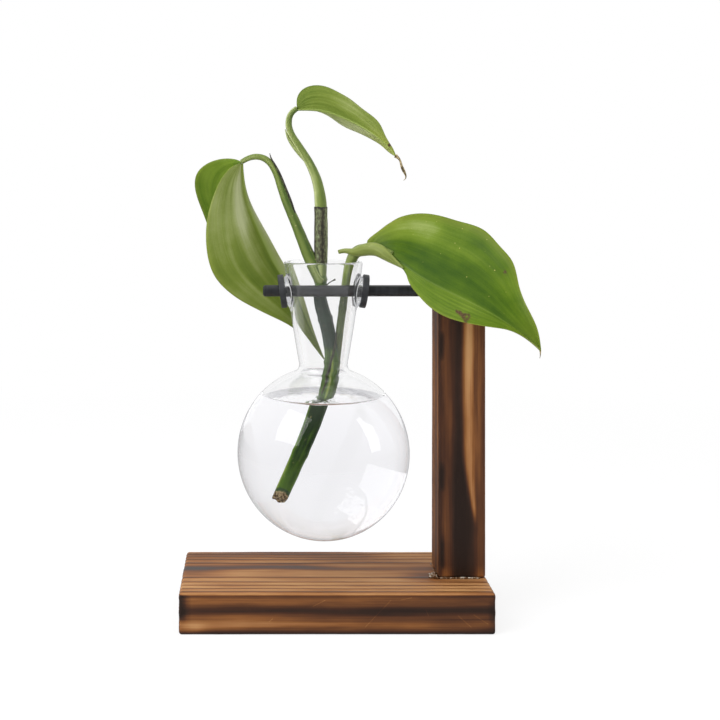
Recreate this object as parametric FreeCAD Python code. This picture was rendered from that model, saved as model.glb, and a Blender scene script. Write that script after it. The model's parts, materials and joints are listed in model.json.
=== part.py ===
import FreeCAD, Part
import math
import os

# Propagation vase: a glass bulb hung on a rod from a wooden stand, with a leafy cutting rooting in it.
# Lengths are millimetres. +X runs along the base towards the post, +Y away from the front, +Z up.
# The origin is the centre of the base's underside.

os.makedirs("parts", exist_ok=True)
Vector = FreeCAD.Vector
UP = Vector(0, 0, 1)
ALONG = Vector(1, 0, 0)

# Base block and post
BASE_LENGTH = 140.0
BASE_DEPTH = 66.0
BASE_HEIGHT = 18.5
BASE_EDGE = 1.4
POST_SIDE = 22.0
POST_INSET = 0.6
POST_ABOVE_ROD = 12.8
POST_EDGE = 1.3

# Set glue squeezed out round the post's foot
GLUE_WIDTH = 1.5
GLUE_HEIGHT = 1.1
GLUE_EDGE = 0.45
GLUE_BLOB_LENGTH = 4.4
GLUE_BLOB_WIDTH = 6.5
GLUE_BLOB_HEIGHT = 2.0
GLUE_BLOB_EDGE = 0.9

# Hidden screw that holds the post from below
SCREW_LENGTH = 36.0
SCREW_RADIUS = 2.0
SCREW_HEAD_RADIUS = 3.9
SCREW_HEAD_HEIGHT = 2.6
SCREW_RECESS = 0.7
SCREW_TIP = 4.0
SCREW_PLAY = 0.15
PILOT_RADIUS_SHARE = 0.75
DRIVE_LENGTH = 4.2
DRIVE_WIDTH = 0.9
DRIVE_DEPTH = 1.5

# Rod, measured from the base's top and from the post's face
ROD_RADIUS = 2.65
ROD_RISE = 130.7
ROD_REACH = 80.0
ROD_CHAMFER = 0.7
ROD_SOCKET = 16.5
ROD_END_PLAY = 0.5
ROD_TURN_PLAY = 0.08

# Glass vase, measured from the rod and from the post's face
VASE_REACH = 51.9
BULB_RADIUS = 40.0
BULB_DROP = 75.3
WALL = 1.6
NECK_ROOT_RADIUS = 10.3
NECK_ROOT_DEPTH = 4.0
NECK_BELLY = 0.45
RIM_RADIUS = 18.4
RIM_RISE = 13.8
RIM_EDGE = 0.72
SHOULDER = 3.5
LIP_RADIUS = 6.6
LIP_RISE = 1.0
LIP_EDGE = 0.6
HOLE_PLAY = 0.45
HANG_DROP = 0.35

# Rubber washers
WASHER_RADIUS = 7.8
WASHER_THICKNESS = 2.8
WASHER_EDGE = 0.45
WASHER_PLAY = 0.05
WASHER_SEAT = 0.05

# Cutting: one stem, three leaf stalks, their sheaths and three leaves
STEM_RADIUS = 3.4
STALK_CLEARANCE = 0.5
LEFT_STALK_HEIGHT = 60.0
LEFT_STALK_RADIUS = 2.6
TOP_STALK_HEIGHT = 84.0
TOP_STALK_RADIUS = 3.0
RIGHT_STALK_REACH = 26.0
RIGHT_STALK_RADIUS = 1.9
SHEATH_THICKNESS = 0.35
SHEATH_STRIP_RADIUS = 0.9
SHEATH_TIP_LENGTH = 14.0
LEFT_LEAF_LENGTH = 102.0
TOP_LEAF_LENGTH = 61.0
RIGHT_LEAF_LENGTH = 76.0
LEAF_THICKNESS = 0.8
LEAF_END_SHARE = 0.12
LEAF_STATIONS = 11
RING_STEP = 5.0
FEWEST_RINGS = 4

# One overrun for every cut that has to break through a surface
OVERRUN = 1.0

# Places worked out from the sizes above
POST_RIGHT = BASE_LENGTH / 2 - POST_INSET
POST_LEFT = POST_RIGHT - POST_SIDE
POST_X = POST_RIGHT - POST_SIDE / 2
ROD_HEIGHT = BASE_HEIGHT + ROD_RISE
VASE_X = POST_LEFT - VASE_REACH
BULB_HEIGHT = ROD_HEIGHT - BULB_DROP
BULB_TOP = BULB_HEIGHT + BULB_RADIUS
RIM_HEIGHT = ROD_HEIGHT + RIM_RISE
BULB_CENTRE = Vector(VASE_X, 0, BULB_HEIGHT)
NECK_ROOT = Vector(VASE_X, 0, BULB_TOP)
ROD_CENTRE = Vector(VASE_X, 0, ROD_HEIGHT)
RIM_CENTRE = Vector(VASE_X, 0, RIM_HEIGHT)


def export(shape, node):
    """Write one piece and say how many solids and how much volume it has."""
    if not shape.isValid():
        print("invalid shape:", node)
    shape.exportStep("parts/" + node + ".step")
    print(node, len(shape.Solids), "solid", round(shape.Volume, 2), "mm3")


def block(low, high):
    """A box between two corners."""
    size = high - low
    return Part.makeBox(size.x, size.y, size.z, low)


# The stand

def base_block():
    """Solid pine block, every edge eased, with the screw's hole and countersink below the post."""
    half_length = BASE_LENGTH / 2
    half_depth = BASE_DEPTH / 2
    wood = block(Vector(-half_length, -half_depth, 0), Vector(half_length, half_depth, BASE_HEIGHT))
    wood = wood.makeFillet(BASE_EDGE, wood.Edges)
    hole_radius = SCREW_RADIUS + SCREW_PLAY
    recess_radius = SCREW_HEAD_RADIUS + SCREW_PLAY
    below = Vector(POST_X, 0, -OVERRUN)
    hole = Part.makeCylinder(hole_radius, BASE_HEIGHT + 2 * OVERRUN, below)
    recess = Part.makeCylinder(recess_radius, SCREW_RECESS + OVERRUN, below)
    seat = Part.makeCone(recess_radius, hole_radius, SCREW_HEAD_HEIGHT, Vector(POST_X, 0, SCREW_RECESS))
    return wood.cut(hole).cut(recess).cut(seat)


def post():
    """Square post near the base's end, bored for the rod and with a pilot hole for the screw."""
    half = POST_SIDE / 2
    top = ROD_HEIGHT + POST_ABOVE_ROD
    wood = block(Vector(POST_LEFT, -half, BASE_HEIGHT), Vector(POST_RIGHT, half, top))
    eased = [edge for edge in wood.Edges if edge.BoundBox.ZMax > ROD_HEIGHT]
    wood = wood.makeFillet(POST_EDGE, eased)
    mouth = Vector(POST_LEFT - OVERRUN, 0, ROD_HEIGHT)
    socket = Part.makeCylinder(ROD_RADIUS + ROD_TURN_PLAY, ROD_SOCKET + OVERRUN, mouth, ALONG)
    pilot_depth = SCREW_RECESS + SCREW_LENGTH - BASE_HEIGHT
    pilot = Part.makeCylinder(SCREW_RADIUS * PILOT_RADIUS_SHARE, pilot_depth + OVERRUN,
                              Vector(POST_X, 0, BASE_HEIGHT - OVERRUN))
    return wood.cut(socket).cut(pilot)


def post_screw():
    """Countersunk wood screw from the base's underside up into the post, with a cross recess."""
    foot = Vector(POST_X, 0, SCREW_RECESS)
    head = Part.makeCone(SCREW_HEAD_RADIUS, SCREW_RADIUS, SCREW_HEAD_HEIGHT, foot)
    shank_length = SCREW_LENGTH - SCREW_TIP
    shank = Part.makeCylinder(SCREW_RADIUS, shank_length, foot)
    tip = Part.makeCone(SCREW_RADIUS, 0, SCREW_TIP, foot + UP * shank_length)
    screw = head.fuse(shank).fuse(tip).removeSplitter()
    for across, along in ((DRIVE_LENGTH, DRIVE_WIDTH), (DRIVE_WIDTH, DRIVE_LENGTH)):
        low = foot - Vector(across / 2, along / 2, OVERRUN)
        high = foot + Vector(across / 2, along / 2, DRIVE_DEPTH)
        screw = screw.cut(block(low, high))
    return screw


def glue_bead():
    """Glue round the post's foot on its three open sides, with a blob at the front left corner."""
    half = POST_SIDE / 2
    bead = block(Vector(POST_LEFT - GLUE_WIDTH, -half - GLUE_WIDTH, BASE_HEIGHT),
                 Vector(POST_RIGHT - GLUE_WIDTH, half + GLUE_WIDTH, BASE_HEIGHT + GLUE_HEIGHT))
    top_edges = [edge for edge in bead.Edges if edge.BoundBox.ZMin > BASE_HEIGHT + GLUE_HEIGHT / 2]
    bead = bead.makeFillet(GLUE_EDGE, top_edges)
    corner = Vector(POST_LEFT - GLUE_BLOB_LENGTH, -half - GLUE_WIDTH / 2, BASE_HEIGHT)
    size = Vector(GLUE_BLOB_LENGTH + GLUE_WIDTH, GLUE_BLOB_WIDTH, GLUE_BLOB_HEIGHT)
    blob = block(corner, corner + size)
    blob_edges = [edge for edge in blob.Edges if edge.BoundBox.ZMax > BASE_HEIGHT + GLUE_BLOB_HEIGHT / 2]
    blob = blob.makeFillet(GLUE_BLOB_EDGE, blob_edges)
    foot = block(Vector(POST_LEFT, -half, BASE_HEIGHT - OVERRUN),
                 Vector(POST_RIGHT + OVERRUN, half, BASE_HEIGHT + GLUE_BLOB_HEIGHT + OVERRUN))
    return bead.fuse(blob).cut(foot).removeSplitter()


# The rod, the glass and its washers

def rod():
    """Straight steel rod whose tail turns in the post's blind socket."""
    length = ROD_REACH + ROD_SOCKET - ROD_END_PLAY
    bar = Part.makeCylinder(ROD_RADIUS, length, Vector(POST_LEFT - ROD_REACH, 0, ROD_HEIGHT), ALONG)
    return bar.makeChamfer(ROD_CHAMFER, [edge for edge in bar.Edges if edge.Closed])


def neck_meridian():
    """The neck's outer line from its root in the bulb to the rim, as three radii and heights."""
    root_height = BULB_TOP - NECK_ROOT_DEPTH
    middle_radius = (NECK_ROOT_RADIUS + RIM_RADIUS) / 2 + NECK_BELLY
    middle_height = (root_height + RIM_HEIGHT) / 2
    return (NECK_ROOT_RADIUS, root_height), (middle_radius, middle_height), (RIM_RADIUS, RIM_HEIGHT)


def neck_wall(height):
    """The neck's outer radius at a height and how far its wall leans out there, in radians."""
    meridian = [Vector(radius, 0, level) for radius, level in neck_meridian()]
    circle = Part.Arc(*meridian).toShape().Curve
    rise = height - circle.Center.z
    out = math.sqrt(circle.Radius ** 2 - rise ** 2)
    return circle.Center.x + out, math.atan(-rise / out)


def glass_body(inset, lift):
    """Bulb and flared neck as one solid of revolution, drawn in by inset and raised past the rim by lift."""
    bulb = Part.makeSphere(BULB_RADIUS - inset, Vector(0, 0, BULB_HEIGHT))
    root, middle, rim = [Vector(radius - inset, 0, height) for radius, height in neck_meridian()]
    top = rim + UP * lift
    edges = [Part.Arc(root, middle, rim).toShape()]
    if lift:
        edges.append(Part.makeLine(rim, top))
    corners = [top, Vector(0, 0, top.z), Vector(0, 0, root.z), root]
    edges += [Part.makeLine(start, end) for start, end in zip(corners, corners[1:])]
    neck = Part.Face(Part.Wire(edges)).revolve(Vector(0, 0, 0), UP, 360)
    body = bulb.fuse(neck)
    crease = [edge for edge in body.Edges
              if edge.Closed and edge.BoundBox.ZMax < BULB_TOP and edge.BoundBox.XMax < BULB_RADIUS / 2]
    return body.makeFillet(SHOULDER + inset, crease)


def outward(side):
    """Direction square to the neck's wall at the rod, on the right (side 1) or the left (side -1)."""
    lean = neck_wall(ROD_HEIGHT)[1]
    return Vector(side * math.cos(lean), 0, -math.sin(lean))


def wall_point(side, off_wall):
    """Point on the rod's axis in the plane that lies off_wall outside the neck's wall."""
    radius, lean = neck_wall(ROD_HEIGHT)
    return ROD_CENTRE + ALONG * side * (radius + off_wall / math.cos(lean))


def vase():
    """Blown glass vase with a raised lip round each of the two holes that hang it on the rod."""
    outer = glass_body(0, 0)
    outer.translate(ALONG * VASE_X)
    hollow = glass_body(WALL, OVERRUN)
    hollow.translate(ALONG * VASE_X)
    for side in (-1, 1):
        start = wall_point(side, -WALL)
        lip = Part.makeCylinder(LIP_RADIUS, WALL + LIP_RISE, start, outward(side))
        rim = [edge for edge in lip.Edges
               if edge.Closed and (edge.CenterOfMass - start).Length > WALL]
        outer = outer.fuse(lip.makeFillet(LIP_EDGE, rim))
    glass = outer.cut(hollow)
    hole_start = ROD_CENTRE - ALONG * BULB_RADIUS - UP * HANG_DROP
    glass = glass.cut(Part.makeCylinder(ROD_RADIUS + HOLE_PLAY, 2 * BULB_RADIUS, hole_start, ALONG))
    rim = [edge for edge in glass.Edges if edge.Closed and edge.BoundBox.ZMin > RIM_HEIGHT - WALL / 2]
    return glass.makeFillet(RIM_EDGE, rim)


def washer(side):
    """Rubber washer lying flat against the neck's lip, bored along the rod."""
    face = wall_point(side, LIP_RISE + WASHER_SEAT)
    disc = Part.makeCylinder(WASHER_RADIUS, WASHER_THICKNESS, face, outward(side))
    disc = disc.makeFillet(WASHER_EDGE, [edge for edge in disc.Edges if edge.Closed])
    bore_start = face - ALONG * WASHER_RADIUS
    return disc.cut(Part.makeCylinder(ROD_RADIUS + WASHER_PLAY, 2 * WASHER_RADIUS, bore_start, ALONG))


# The cutting: smooth lines, and the places of its stem and stalks as shares of the sizes they follow

def smooth(places, count):
    """Evenly spaced places on a smooth line through the given ones."""
    line = Part.BSplineCurve()
    line.interpolate(places)
    return line.toShape().discretize(Number=count)


def directions(places):
    """The way a row of places runs at each one."""
    last = len(places) - 1
    return [(places[min(i + 1, last)] - places[max(i - 1, 0)]).normalize() for i in range(last + 1)]


def run_lengths(places):
    """Distances from each place to the next."""
    return [(end - start).Length for start, end in zip(places, places[1:])]


def between(values, steps, share):
    """Value at a share of the way, between the values given at the steps."""
    for i in range(1, len(steps)):
        if share <= steps[i]:
            part = (share - steps[i - 1]) / (steps[i] - steps[i - 1])
            return values[i - 1] + part * (values[i] - values[i - 1])
    return values[-1]


def stalk(places, radius, radius_shares):
    """Round tapering stalk on a smooth line through the places, lofted through evenly spaced rings."""
    runs = run_lengths(places)
    steps = [sum(runs[:i]) / sum(runs) for i in range(len(places))]
    count = max(FEWEST_RINGS, round(sum(runs) / RING_STEP))
    centres = smooth(places, count)
    rings = []
    for i, (centre, way) in enumerate(zip(centres, directions(centres))):
        size = radius * between(radius_shares, steps, i / (count - 1))
        rings.append(Part.Wire(Part.makeCircle(size, centre, way)))
    return Part.makeLoft(rings, True)


def placed(start, size, shares):
    """Places given as shares of a size from a start."""
    return [start + Vector(*share) * size for share in shares]


STEM_IN_BULB_SHARES = ((-0.355, 0.09, -0.39), (-0.18, 0.08, 0.02), (0.02, 0.06, 0.60))
STEM_IN_NECK_SHARES = ((0.42, 0.20, 0.15), (0.30, 0.40, 1.25), (0.08, 0.54, 2.25))
STEM_BEHIND_ROD_SHARES = ((-0.50, 0, -1.00), (-0.30, 0, 1.20), (-0.30, 0, 2.50))
STEM_RADIUS_SHARES = (0.72, 0.82, 0.94, 1.12, 0.95, 1.0, 1.0, 0.95, 0.82)
LEFT_STALK_SHARES = (
    (0.00, 0.00, 0.00), (-0.06, 0.01, 0.13), (-0.21, 0.04, 0.49), (-0.29, 0.06, 0.68),
    (-0.36, 0.09, 0.86), (-0.45, 0.12, 0.97), (-0.55, 0.13, 0.99), (-0.635, 0.14, 0.955))
LEFT_STALK_RADIUS_SHARES = (1.15, 1.2, 1.05, 0.95, 0.85, 0.7, 0.62, 0.6)
TOP_STALK_SHARES = (
    (0.00, 0.00, 0.00), (0.00, 0.00, 0.24), (0.00, 0.00, 0.44), (-0.015, 0.00, 0.55), (-0.07, 0.00, 0.69),
    (-0.14, 0.00, 0.80), (-0.18, 0.00, 0.88), (-0.165, 0.00, 0.95), (-0.135, 0.00, 0.985))
TOP_STALK_RADIUS_SHARES = (0.9, 0.95, 1.0, 0.98, 0.85, 0.72, 0.6, 0.5, 0.55)
RIGHT_STALK_IN_ROOT_SHARES = ((0.52, 0.30, 0.45), (0.72, 0.42, 1.75))
RIGHT_STALK_IN_NECK_SHARES = ((0.60, -1.00), (0.68, 2.00), (0.79, 5.20))
RIGHT_STALK_OUT_SHARES = ((0.09, -0.07, 0.14), (0.26, -0.20, 0.215), (0.50, -0.38, 0.22), (0.73, -0.53, 0.13))
RIGHT_STALK_RADIUS_SHARES = (1.0, 1.0, 1.0, 1.0, 1.0, 1.15, 1.45, 1.35, 1.1)
SLEEVE_SHARES = (-0.45, -0.1, 0.3, 0.65, 1.0)
STRIP_BESIDE_SHARES = (0.80, -0.24, 0.20)
STRIP_TIP_SHARES = (-0.4, 0.0, 0.9)
STRIP_RADIUS_SHARES = (0.5, 1.0, 0.7, 0.3)
SHEATH_TIP_SHARES = ((0.0, 0.0, 0.05), (-0.35, 0.22, 0.14), (-0.75, 0.45, 0.06), (-1.15, 0.60, -0.06))
SHEATH_TIP_RADIUS_SHARES = (1.2, 1.0, 0.5, 0.2)


def stem_behind_rod():
    """Places of the stem beside the rod and of the node just above it, clear of the rod."""
    behind = ROD_CENTRE + Vector(0, ROD_RADIUS + STALK_CLEARANCE + STEM_RADIUS, 0)
    return placed(behind, ROD_RADIUS, STEM_BEHIND_ROD_SHARES)


def stem_places():
    """Cut end in the water, up through the neck's root, behind the rod and to the node above it."""
    low = placed(BULB_CENTRE, BULB_RADIUS, STEM_IN_BULB_SHARES)
    neck = placed(NECK_ROOT, NECK_ROOT_RADIUS, STEM_IN_NECK_SHARES)
    return low + neck + stem_behind_rod()


def left_stalk_places():
    """Left leaf's stalk, from the node up over the rim to its bend."""
    return placed(stem_behind_rod()[1], LEFT_STALK_HEIGHT, LEFT_STALK_SHARES)


def top_stalk_places():
    """Top leaf's stalk, straight up from the node and then bending left."""
    return placed(stem_behind_rod()[1], TOP_STALK_HEIGHT, TOP_STALK_SHARES)


def right_stalk_places():
    """Right leaf's stalk: up the neck beside the stem, behind the rod, then over the rim to the right."""
    low = placed(NECK_ROOT, NECK_ROOT_RADIUS, RIGHT_STALK_IN_ROOT_SHARES)
    behind = ROD_RADIUS + STALK_CLEARANCE + RIGHT_STALK_RADIUS
    inside = RIM_RADIUS - WALL
    high = [ROD_CENTRE + Vector(inside * out, behind, ROD_RADIUS * rise) for out, rise in RIGHT_STALK_IN_NECK_SHARES]
    return low + high + placed(high[-1], RIGHT_STALK_REACH, RIGHT_STALK_OUT_SHARES)


def cutting_stem():
    """Main stem of the cutting, with a swelling at the lower node."""
    return stalk(stem_places(), STEM_RADIUS, STEM_RADIUS_SHARES)


def stalk_left():
    return stalk(left_stalk_places(), LEFT_STALK_RADIUS, LEFT_STALK_RADIUS_SHARES)


def stalk_top():
    return stalk(top_stalk_places(), TOP_STALK_RADIUS, TOP_STALK_RADIUS_SHARES)


def stalk_right():
    return stalk(right_stalk_places(), RIGHT_STALK_RADIUS, RIGHT_STALK_RADIUS_SHARES)


def sheath_top():
    """Papery sleeve that still wraps the lower part of the top leaf's stalk."""
    low, high = top_stalk_places()[1:3]
    places = [low + (high - low) * share for share in SLEEVE_SHARES]
    sleeve = stalk(places, TOP_STALK_RADIUS + SHEATH_THICKNESS, [1] * len(places))
    return sleeve.cut(stalk_top())


def sheath_left():
    """Dried strip of sheath down the right side of the left leaf's stalk, with a free tip at the top."""
    beside = Vector(*STRIP_BESIDE_SHARES) * LEFT_STALK_RADIUS
    places = [place + beside for place in left_stalk_places()[2:5]]
    places.append(places[-1] + Vector(*STRIP_TIP_SHARES) * LEFT_STALK_RADIUS)
    return stalk(places, SHEATH_STRIP_RADIUS, STRIP_RADIUS_SHARES)


def sheath_right():
    """Pale sheath of the right leaf's stalk, ending in a free tip that points left over the rim."""
    places = placed(right_stalk_places()[-2], SHEATH_TIP_LENGTH, SHEATH_TIP_SHARES)
    return stalk(places, RIGHT_STALK_RADIUS, SHEATH_TIP_RADIUS_SHARES)


# Leaves, each station from base to tip as near edge, midrib and far edge, in shares of the leaf's length

LEFT_LEAF_SHARES = (
    ((-0.010, -0.010, 0.005), (0.000, 0.000, 0.010), (-0.006, 0.020, 0.012)),
    ((-0.100, -0.065, -0.045), (0.003, 0.015, -0.080), (-0.130, 0.115, 0.000)),
    ((-0.140, -0.085, -0.180), (0.022, 0.030, -0.190), (-0.205, 0.175, -0.075)),
    ((-0.158, -0.090, -0.310), (0.060, 0.040, -0.300), (-0.205, 0.210, -0.220)),
    ((-0.145, -0.083, -0.440), (0.110, 0.052, -0.410), (-0.130, 0.215, -0.390)),
    ((-0.075, -0.066, -0.580), (0.175, 0.056, -0.530), (-0.045, 0.195, -0.540)),
    ((0.060, -0.040, -0.675), (0.245, 0.050, -0.660), (0.070, 0.150, -0.670)),
    ((0.225, -0.005, -0.760), (0.325, 0.032, -0.790), (0.215, 0.090, -0.800)),
    ((0.388, 0.008, -0.915), (0.394, 0.012, -0.922), (0.386, 0.018, -0.920)),
)
TOP_LEAF_SHARES = (
    ((-0.010, -0.005, 0.020), (-0.010, -0.010, -0.010), (0.015, 0.010, -0.005)),
    ((0.030, 0.050, 0.155), (0.110, -0.025, 0.000), (0.125, 0.020, -0.010)),
    ((0.150, 0.070, 0.192), (0.240, -0.045, -0.020), (0.200, 0.050, -0.030)),
    ((0.320, 0.050, 0.130), (0.380, -0.070, -0.070), (0.320, 0.080, -0.120)),
    ((0.520, 0.000, -0.010), (0.520, -0.090, -0.140), (0.470, 0.070, -0.190)),
    ((0.680, -0.070, -0.210), (0.650, -0.110, -0.240), (0.630, 0.000, -0.250)),
    ((0.790, -0.120, -0.370), (0.770, -0.130, -0.370), (0.780, -0.110, -0.380)),
    ((0.850, -0.110, -0.520), (0.845, -0.115, -0.523), (0.848, -0.105, -0.526)),
)
RIGHT_LEAF_SHARES = (
    ((0.010, -0.030, -0.040), (0.000, 0.000, 0.000), (-0.060, 0.060, 0.060)),
    ((0.060, -0.150, -0.145), (0.085, -0.085, -0.070), (0.000, 0.115, 0.180)),
    ((0.110, -0.270, -0.235), (0.200, -0.180, -0.145), (0.150, 0.110, 0.240)),
    ((0.230, -0.400, -0.320), (0.340, -0.250, -0.210), (0.330, 0.060, 0.235)),
    ((0.390, -0.470, -0.370), (0.470, -0.300, -0.280), (0.500, -0.020, 0.165)),
    ((0.540, -0.470, -0.390), (0.600, -0.340, -0.355), (0.640, -0.150, 0.020)),
    ((0.670, -0.430, -0.435), (0.700, -0.370, -0.430), (0.720, -0.290, -0.170)),
    ((0.770, -0.390, -0.520), (0.785, -0.385, -0.515), (0.790, -0.370, -0.490)),
)


def keel(near, rib, far):
    """The way the midrib stands out of the fold, as long as the leaf is thick."""
    way = (rib - near).normalize() - (far - rib).normalize()
    return way.normalize() * LEAF_THICKNESS


def drawn_in(end, beside):
    """A small copy of the station beside it, at the end of the midrib."""
    near, rib, far = beside
    return end + (near - rib) * LEAF_END_SHARE, end, end + (far - rib) * LEAF_END_SHARE


def leaf(base, length, shares):
    """Folded leaf: a thin sheet from one edge over the midrib to the other edge, from base to tip."""
    rows = [placed(base, length, station) for station in shares]
    rails = [smooth(list(rail), LEAF_STATIONS) for rail in zip(*rows)]
    stations = list(zip(*rails))
    stations[0] = drawn_in(stations[0][1], stations[1])
    stations[-1] = drawn_in(stations[-1][1], stations[-2])
    sections = []
    for near, rib, far in stations:
        out = keel(near, rib, far)
        sections.append(Part.makePolygon([near, rib, far, far + out, rib + out, near + out, near]))
    return Part.makeLoft(sections, True, True)


def leaf_left():
    return leaf(left_stalk_places()[-1], LEFT_LEAF_LENGTH, LEFT_LEAF_SHARES)


def leaf_top():
    return leaf(top_stalk_places()[-1], TOP_LEAF_LENGTH, TOP_LEAF_SHARES)


def leaf_right():
    return leaf(right_stalk_places()[-1], RIGHT_LEAF_LENGTH, RIGHT_LEAF_SHARES)


PIECES = {
    "base_block": base_block,
    "post": post,
    "post_screw": post_screw,
    "glue_bead": glue_bead,
    "rod": rod,
    "vase": vase,
    "washer_left": lambda: washer(-1),
    "washer_right": lambda: washer(1),
    "cutting_stem": cutting_stem,
    "stalk_left": stalk_left,
    "stalk_top": stalk_top,
    "stalk_right": stalk_right,
    "sheath_left": sheath_left,
    "sheath_top": sheath_top,
    "sheath_right": sheath_right,
    "leaf_left": leaf_left,
    "leaf_top": leaf_top,
    "leaf_right": leaf_right,
}

for node, make in PIECES.items():
    export(make(), node)
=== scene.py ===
"""Looks of the propagation vase: pine stand, blown glass bulb with water, rubber washers and a cutting.

Lengths are millimetres in the axes of the frame until a mesh is made, and colours are sRGB hex values.
"""
import json
import math

import bmesh
import bpy
import numpy as np
from mathutils import Matrix, Vector, noise

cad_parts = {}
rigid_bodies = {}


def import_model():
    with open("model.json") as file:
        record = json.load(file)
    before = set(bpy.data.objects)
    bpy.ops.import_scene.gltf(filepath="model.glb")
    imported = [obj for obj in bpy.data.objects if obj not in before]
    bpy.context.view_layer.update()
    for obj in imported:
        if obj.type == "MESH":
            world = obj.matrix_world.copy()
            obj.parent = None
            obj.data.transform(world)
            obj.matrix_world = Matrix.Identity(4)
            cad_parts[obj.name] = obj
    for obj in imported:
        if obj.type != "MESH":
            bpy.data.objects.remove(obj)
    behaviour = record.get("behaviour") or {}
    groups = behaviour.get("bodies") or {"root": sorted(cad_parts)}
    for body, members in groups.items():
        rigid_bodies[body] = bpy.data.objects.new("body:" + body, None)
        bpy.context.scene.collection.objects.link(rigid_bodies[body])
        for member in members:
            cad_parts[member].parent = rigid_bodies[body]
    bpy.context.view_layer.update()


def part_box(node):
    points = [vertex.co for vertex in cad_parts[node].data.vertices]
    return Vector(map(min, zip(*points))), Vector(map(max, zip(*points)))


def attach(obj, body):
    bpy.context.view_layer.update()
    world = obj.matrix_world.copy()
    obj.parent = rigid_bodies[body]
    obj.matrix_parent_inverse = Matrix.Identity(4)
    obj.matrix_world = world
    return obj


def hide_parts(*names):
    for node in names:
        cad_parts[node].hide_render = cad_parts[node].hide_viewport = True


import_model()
bpy.context.scene.view_settings.view_transform = "Standard"

MM = 0.001
TURN = 2 * math.pi
# How many places are read from a spline for each of its points, before they are spaced evenly
LINE_SAMPLES = 200


def node_box(node):
    """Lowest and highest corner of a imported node, in millimetres."""
    low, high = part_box(node)
    return np.array(low) / MM, np.array(high) / MM


BASE_LOW, BASE_HIGH = node_box("base_block")
POST_LOW, POST_HIGH = node_box("post")
ROD_LOW, ROD_HIGH = node_box("rod")
GLASS_LOW, GLASS_HIGH = node_box("vase")
SCREW_LOW, SCREW_HIGH = node_box("post_screw")

ROD_HEIGHT = (ROD_LOW[2] + ROD_HIGH[2]) / 2
ROD_RADIUS = (ROD_HIGH[2] - ROD_LOW[2]) / 2
GLASS_X = (GLASS_LOW[0] + GLASS_HIGH[0]) / 2
BULB_RADIUS = (GLASS_HIGH[0] - GLASS_LOW[0]) / 2
BULB_HEIGHT = GLASS_LOW[2] + BULB_RADIUS
RIM_HEIGHT = GLASS_HIGH[2]


# Meshes, pieces and smooth lines

def colour(code):
    """Linear colour of an sRGB hex value, with alpha."""
    parts = [int(code[i:i + 2], 16) / 255 for i in (0, 2, 4)]
    return [c / 12.92 if c <= 0.04045 else ((c + 0.055) / 1.055) ** 2.4 for c in parts] + [1.0]


def make_mesh(name, points, faces, **layers):
    """Smooth-shaded mesh from places in millimetres. Each layer is one number for each place."""
    mesh = bpy.data.meshes.new(name)
    mesh.from_pydata((np.asarray(points, float) * MM).tolist(), [], faces)
    for layer, values in layers.items():
        data = mesh.attributes.new(layer, "FLOAT", "POINT").data
        data.foreach_set("value", np.asarray(values, np.float32))
    mesh.polygons.foreach_set("use_smooth", [True] * len(mesh.polygons))
    mesh.update()
    return mesh


def face_out(mesh):
    """Drops the points of a closed mesh that no face uses, and turns every face outward."""
    shape = bmesh.new()
    shape.from_mesh(mesh)
    bmesh.ops.delete(shape, geom=[point for point in shape.verts if not point.link_faces], context="VERTS")
    bmesh.ops.recalc_face_normals(shape, faces=shape.faces)
    shape.to_mesh(mesh)
    shape.free()
    return mesh


def piece(name, mesh, body, slot, material, *replaced):
    """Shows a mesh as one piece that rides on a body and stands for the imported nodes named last."""
    made = bpy.data.objects.new(name, mesh)
    bpy.context.scene.collection.objects.link(made)
    mesh.materials.append(material)
    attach(made, body)
    if replaced:
        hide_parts(*replaced)
    return made


def through(steps, values, places):
    """Natural cubic spline through values at rising steps, read at other places."""
    values = np.asarray(values, float)
    runs = np.diff(steps)
    count = len(steps)
    left = np.eye(count)
    right = np.zeros_like(values)
    for i in range(1, count - 1):
        left[i, i - 1:i + 2] = runs[i - 1], 2 * (runs[i - 1] + runs[i]), runs[i]
        right[i] = 6 * ((values[i + 1] - values[i]) / runs[i] - (values[i] - values[i - 1]) / runs[i - 1])
    bends = np.linalg.solve(left, right)
    spans = np.clip(np.searchsorted(steps, places, side="right") - 1, 0, count - 2)
    run = runs[spans]
    ahead = (places - np.asarray(steps)[spans]) / run
    behind = 1 - ahead
    if values.ndim > 1:
        run, ahead, behind = run[:, None], ahead[:, None], behind[:, None]
    curve = (behind ** 3 - behind) * bends[spans] + (ahead ** 3 - ahead) * bends[spans + 1]
    return behind * values[spans] + ahead * values[spans + 1] + curve * run ** 2 / 6


def lengths_along(points):
    """Distance of each point from the first one, along the line."""
    return np.concatenate([[0], np.cumsum(np.linalg.norm(np.diff(points, axis=0), axis=1))])


def smooth_line(points, count):
    """Evenly spaced places on a smooth line through the points."""
    points = np.asarray(points, float)
    steps = lengths_along(points)
    fine = through(steps, points, np.linspace(0, steps[-1], LINE_SAMPLES * len(points)))
    walked = lengths_along(fine)
    even = np.linspace(0, walked[-1], count)
    return np.stack([np.interp(even, walked, fine[:, axis]) for axis in range(3)], axis=1)


def unit(vectors):
    """The same directions, each with a length of 1."""
    return vectors / np.maximum(np.linalg.norm(vectors, axis=-1, keepdims=True), 1e-9)


def turns(sides):
    """Evenly spaced angles, one for each point of a ring."""
    return np.arange(sides) * TURN / sides


def wander(points, size, shift=0.0):
    """Smooth noise from -1 to 1 at each place. size is its wavelength along x, y and z."""
    scaled = points / np.asarray(size, float) + shift
    return np.array([noise.noise(Vector(place)) for place in scaled])


def near(distance, width):
    """1 at no distance, falling off smoothly over a width."""
    return np.exp(-(distance / width) ** 2)


def step_up(values, low, high):
    """0 below low, 1 above high, and smooth between."""
    share = np.clip((values - low) / (high - low), 0, 1)
    return share * share * (3 - 2 * share)


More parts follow.
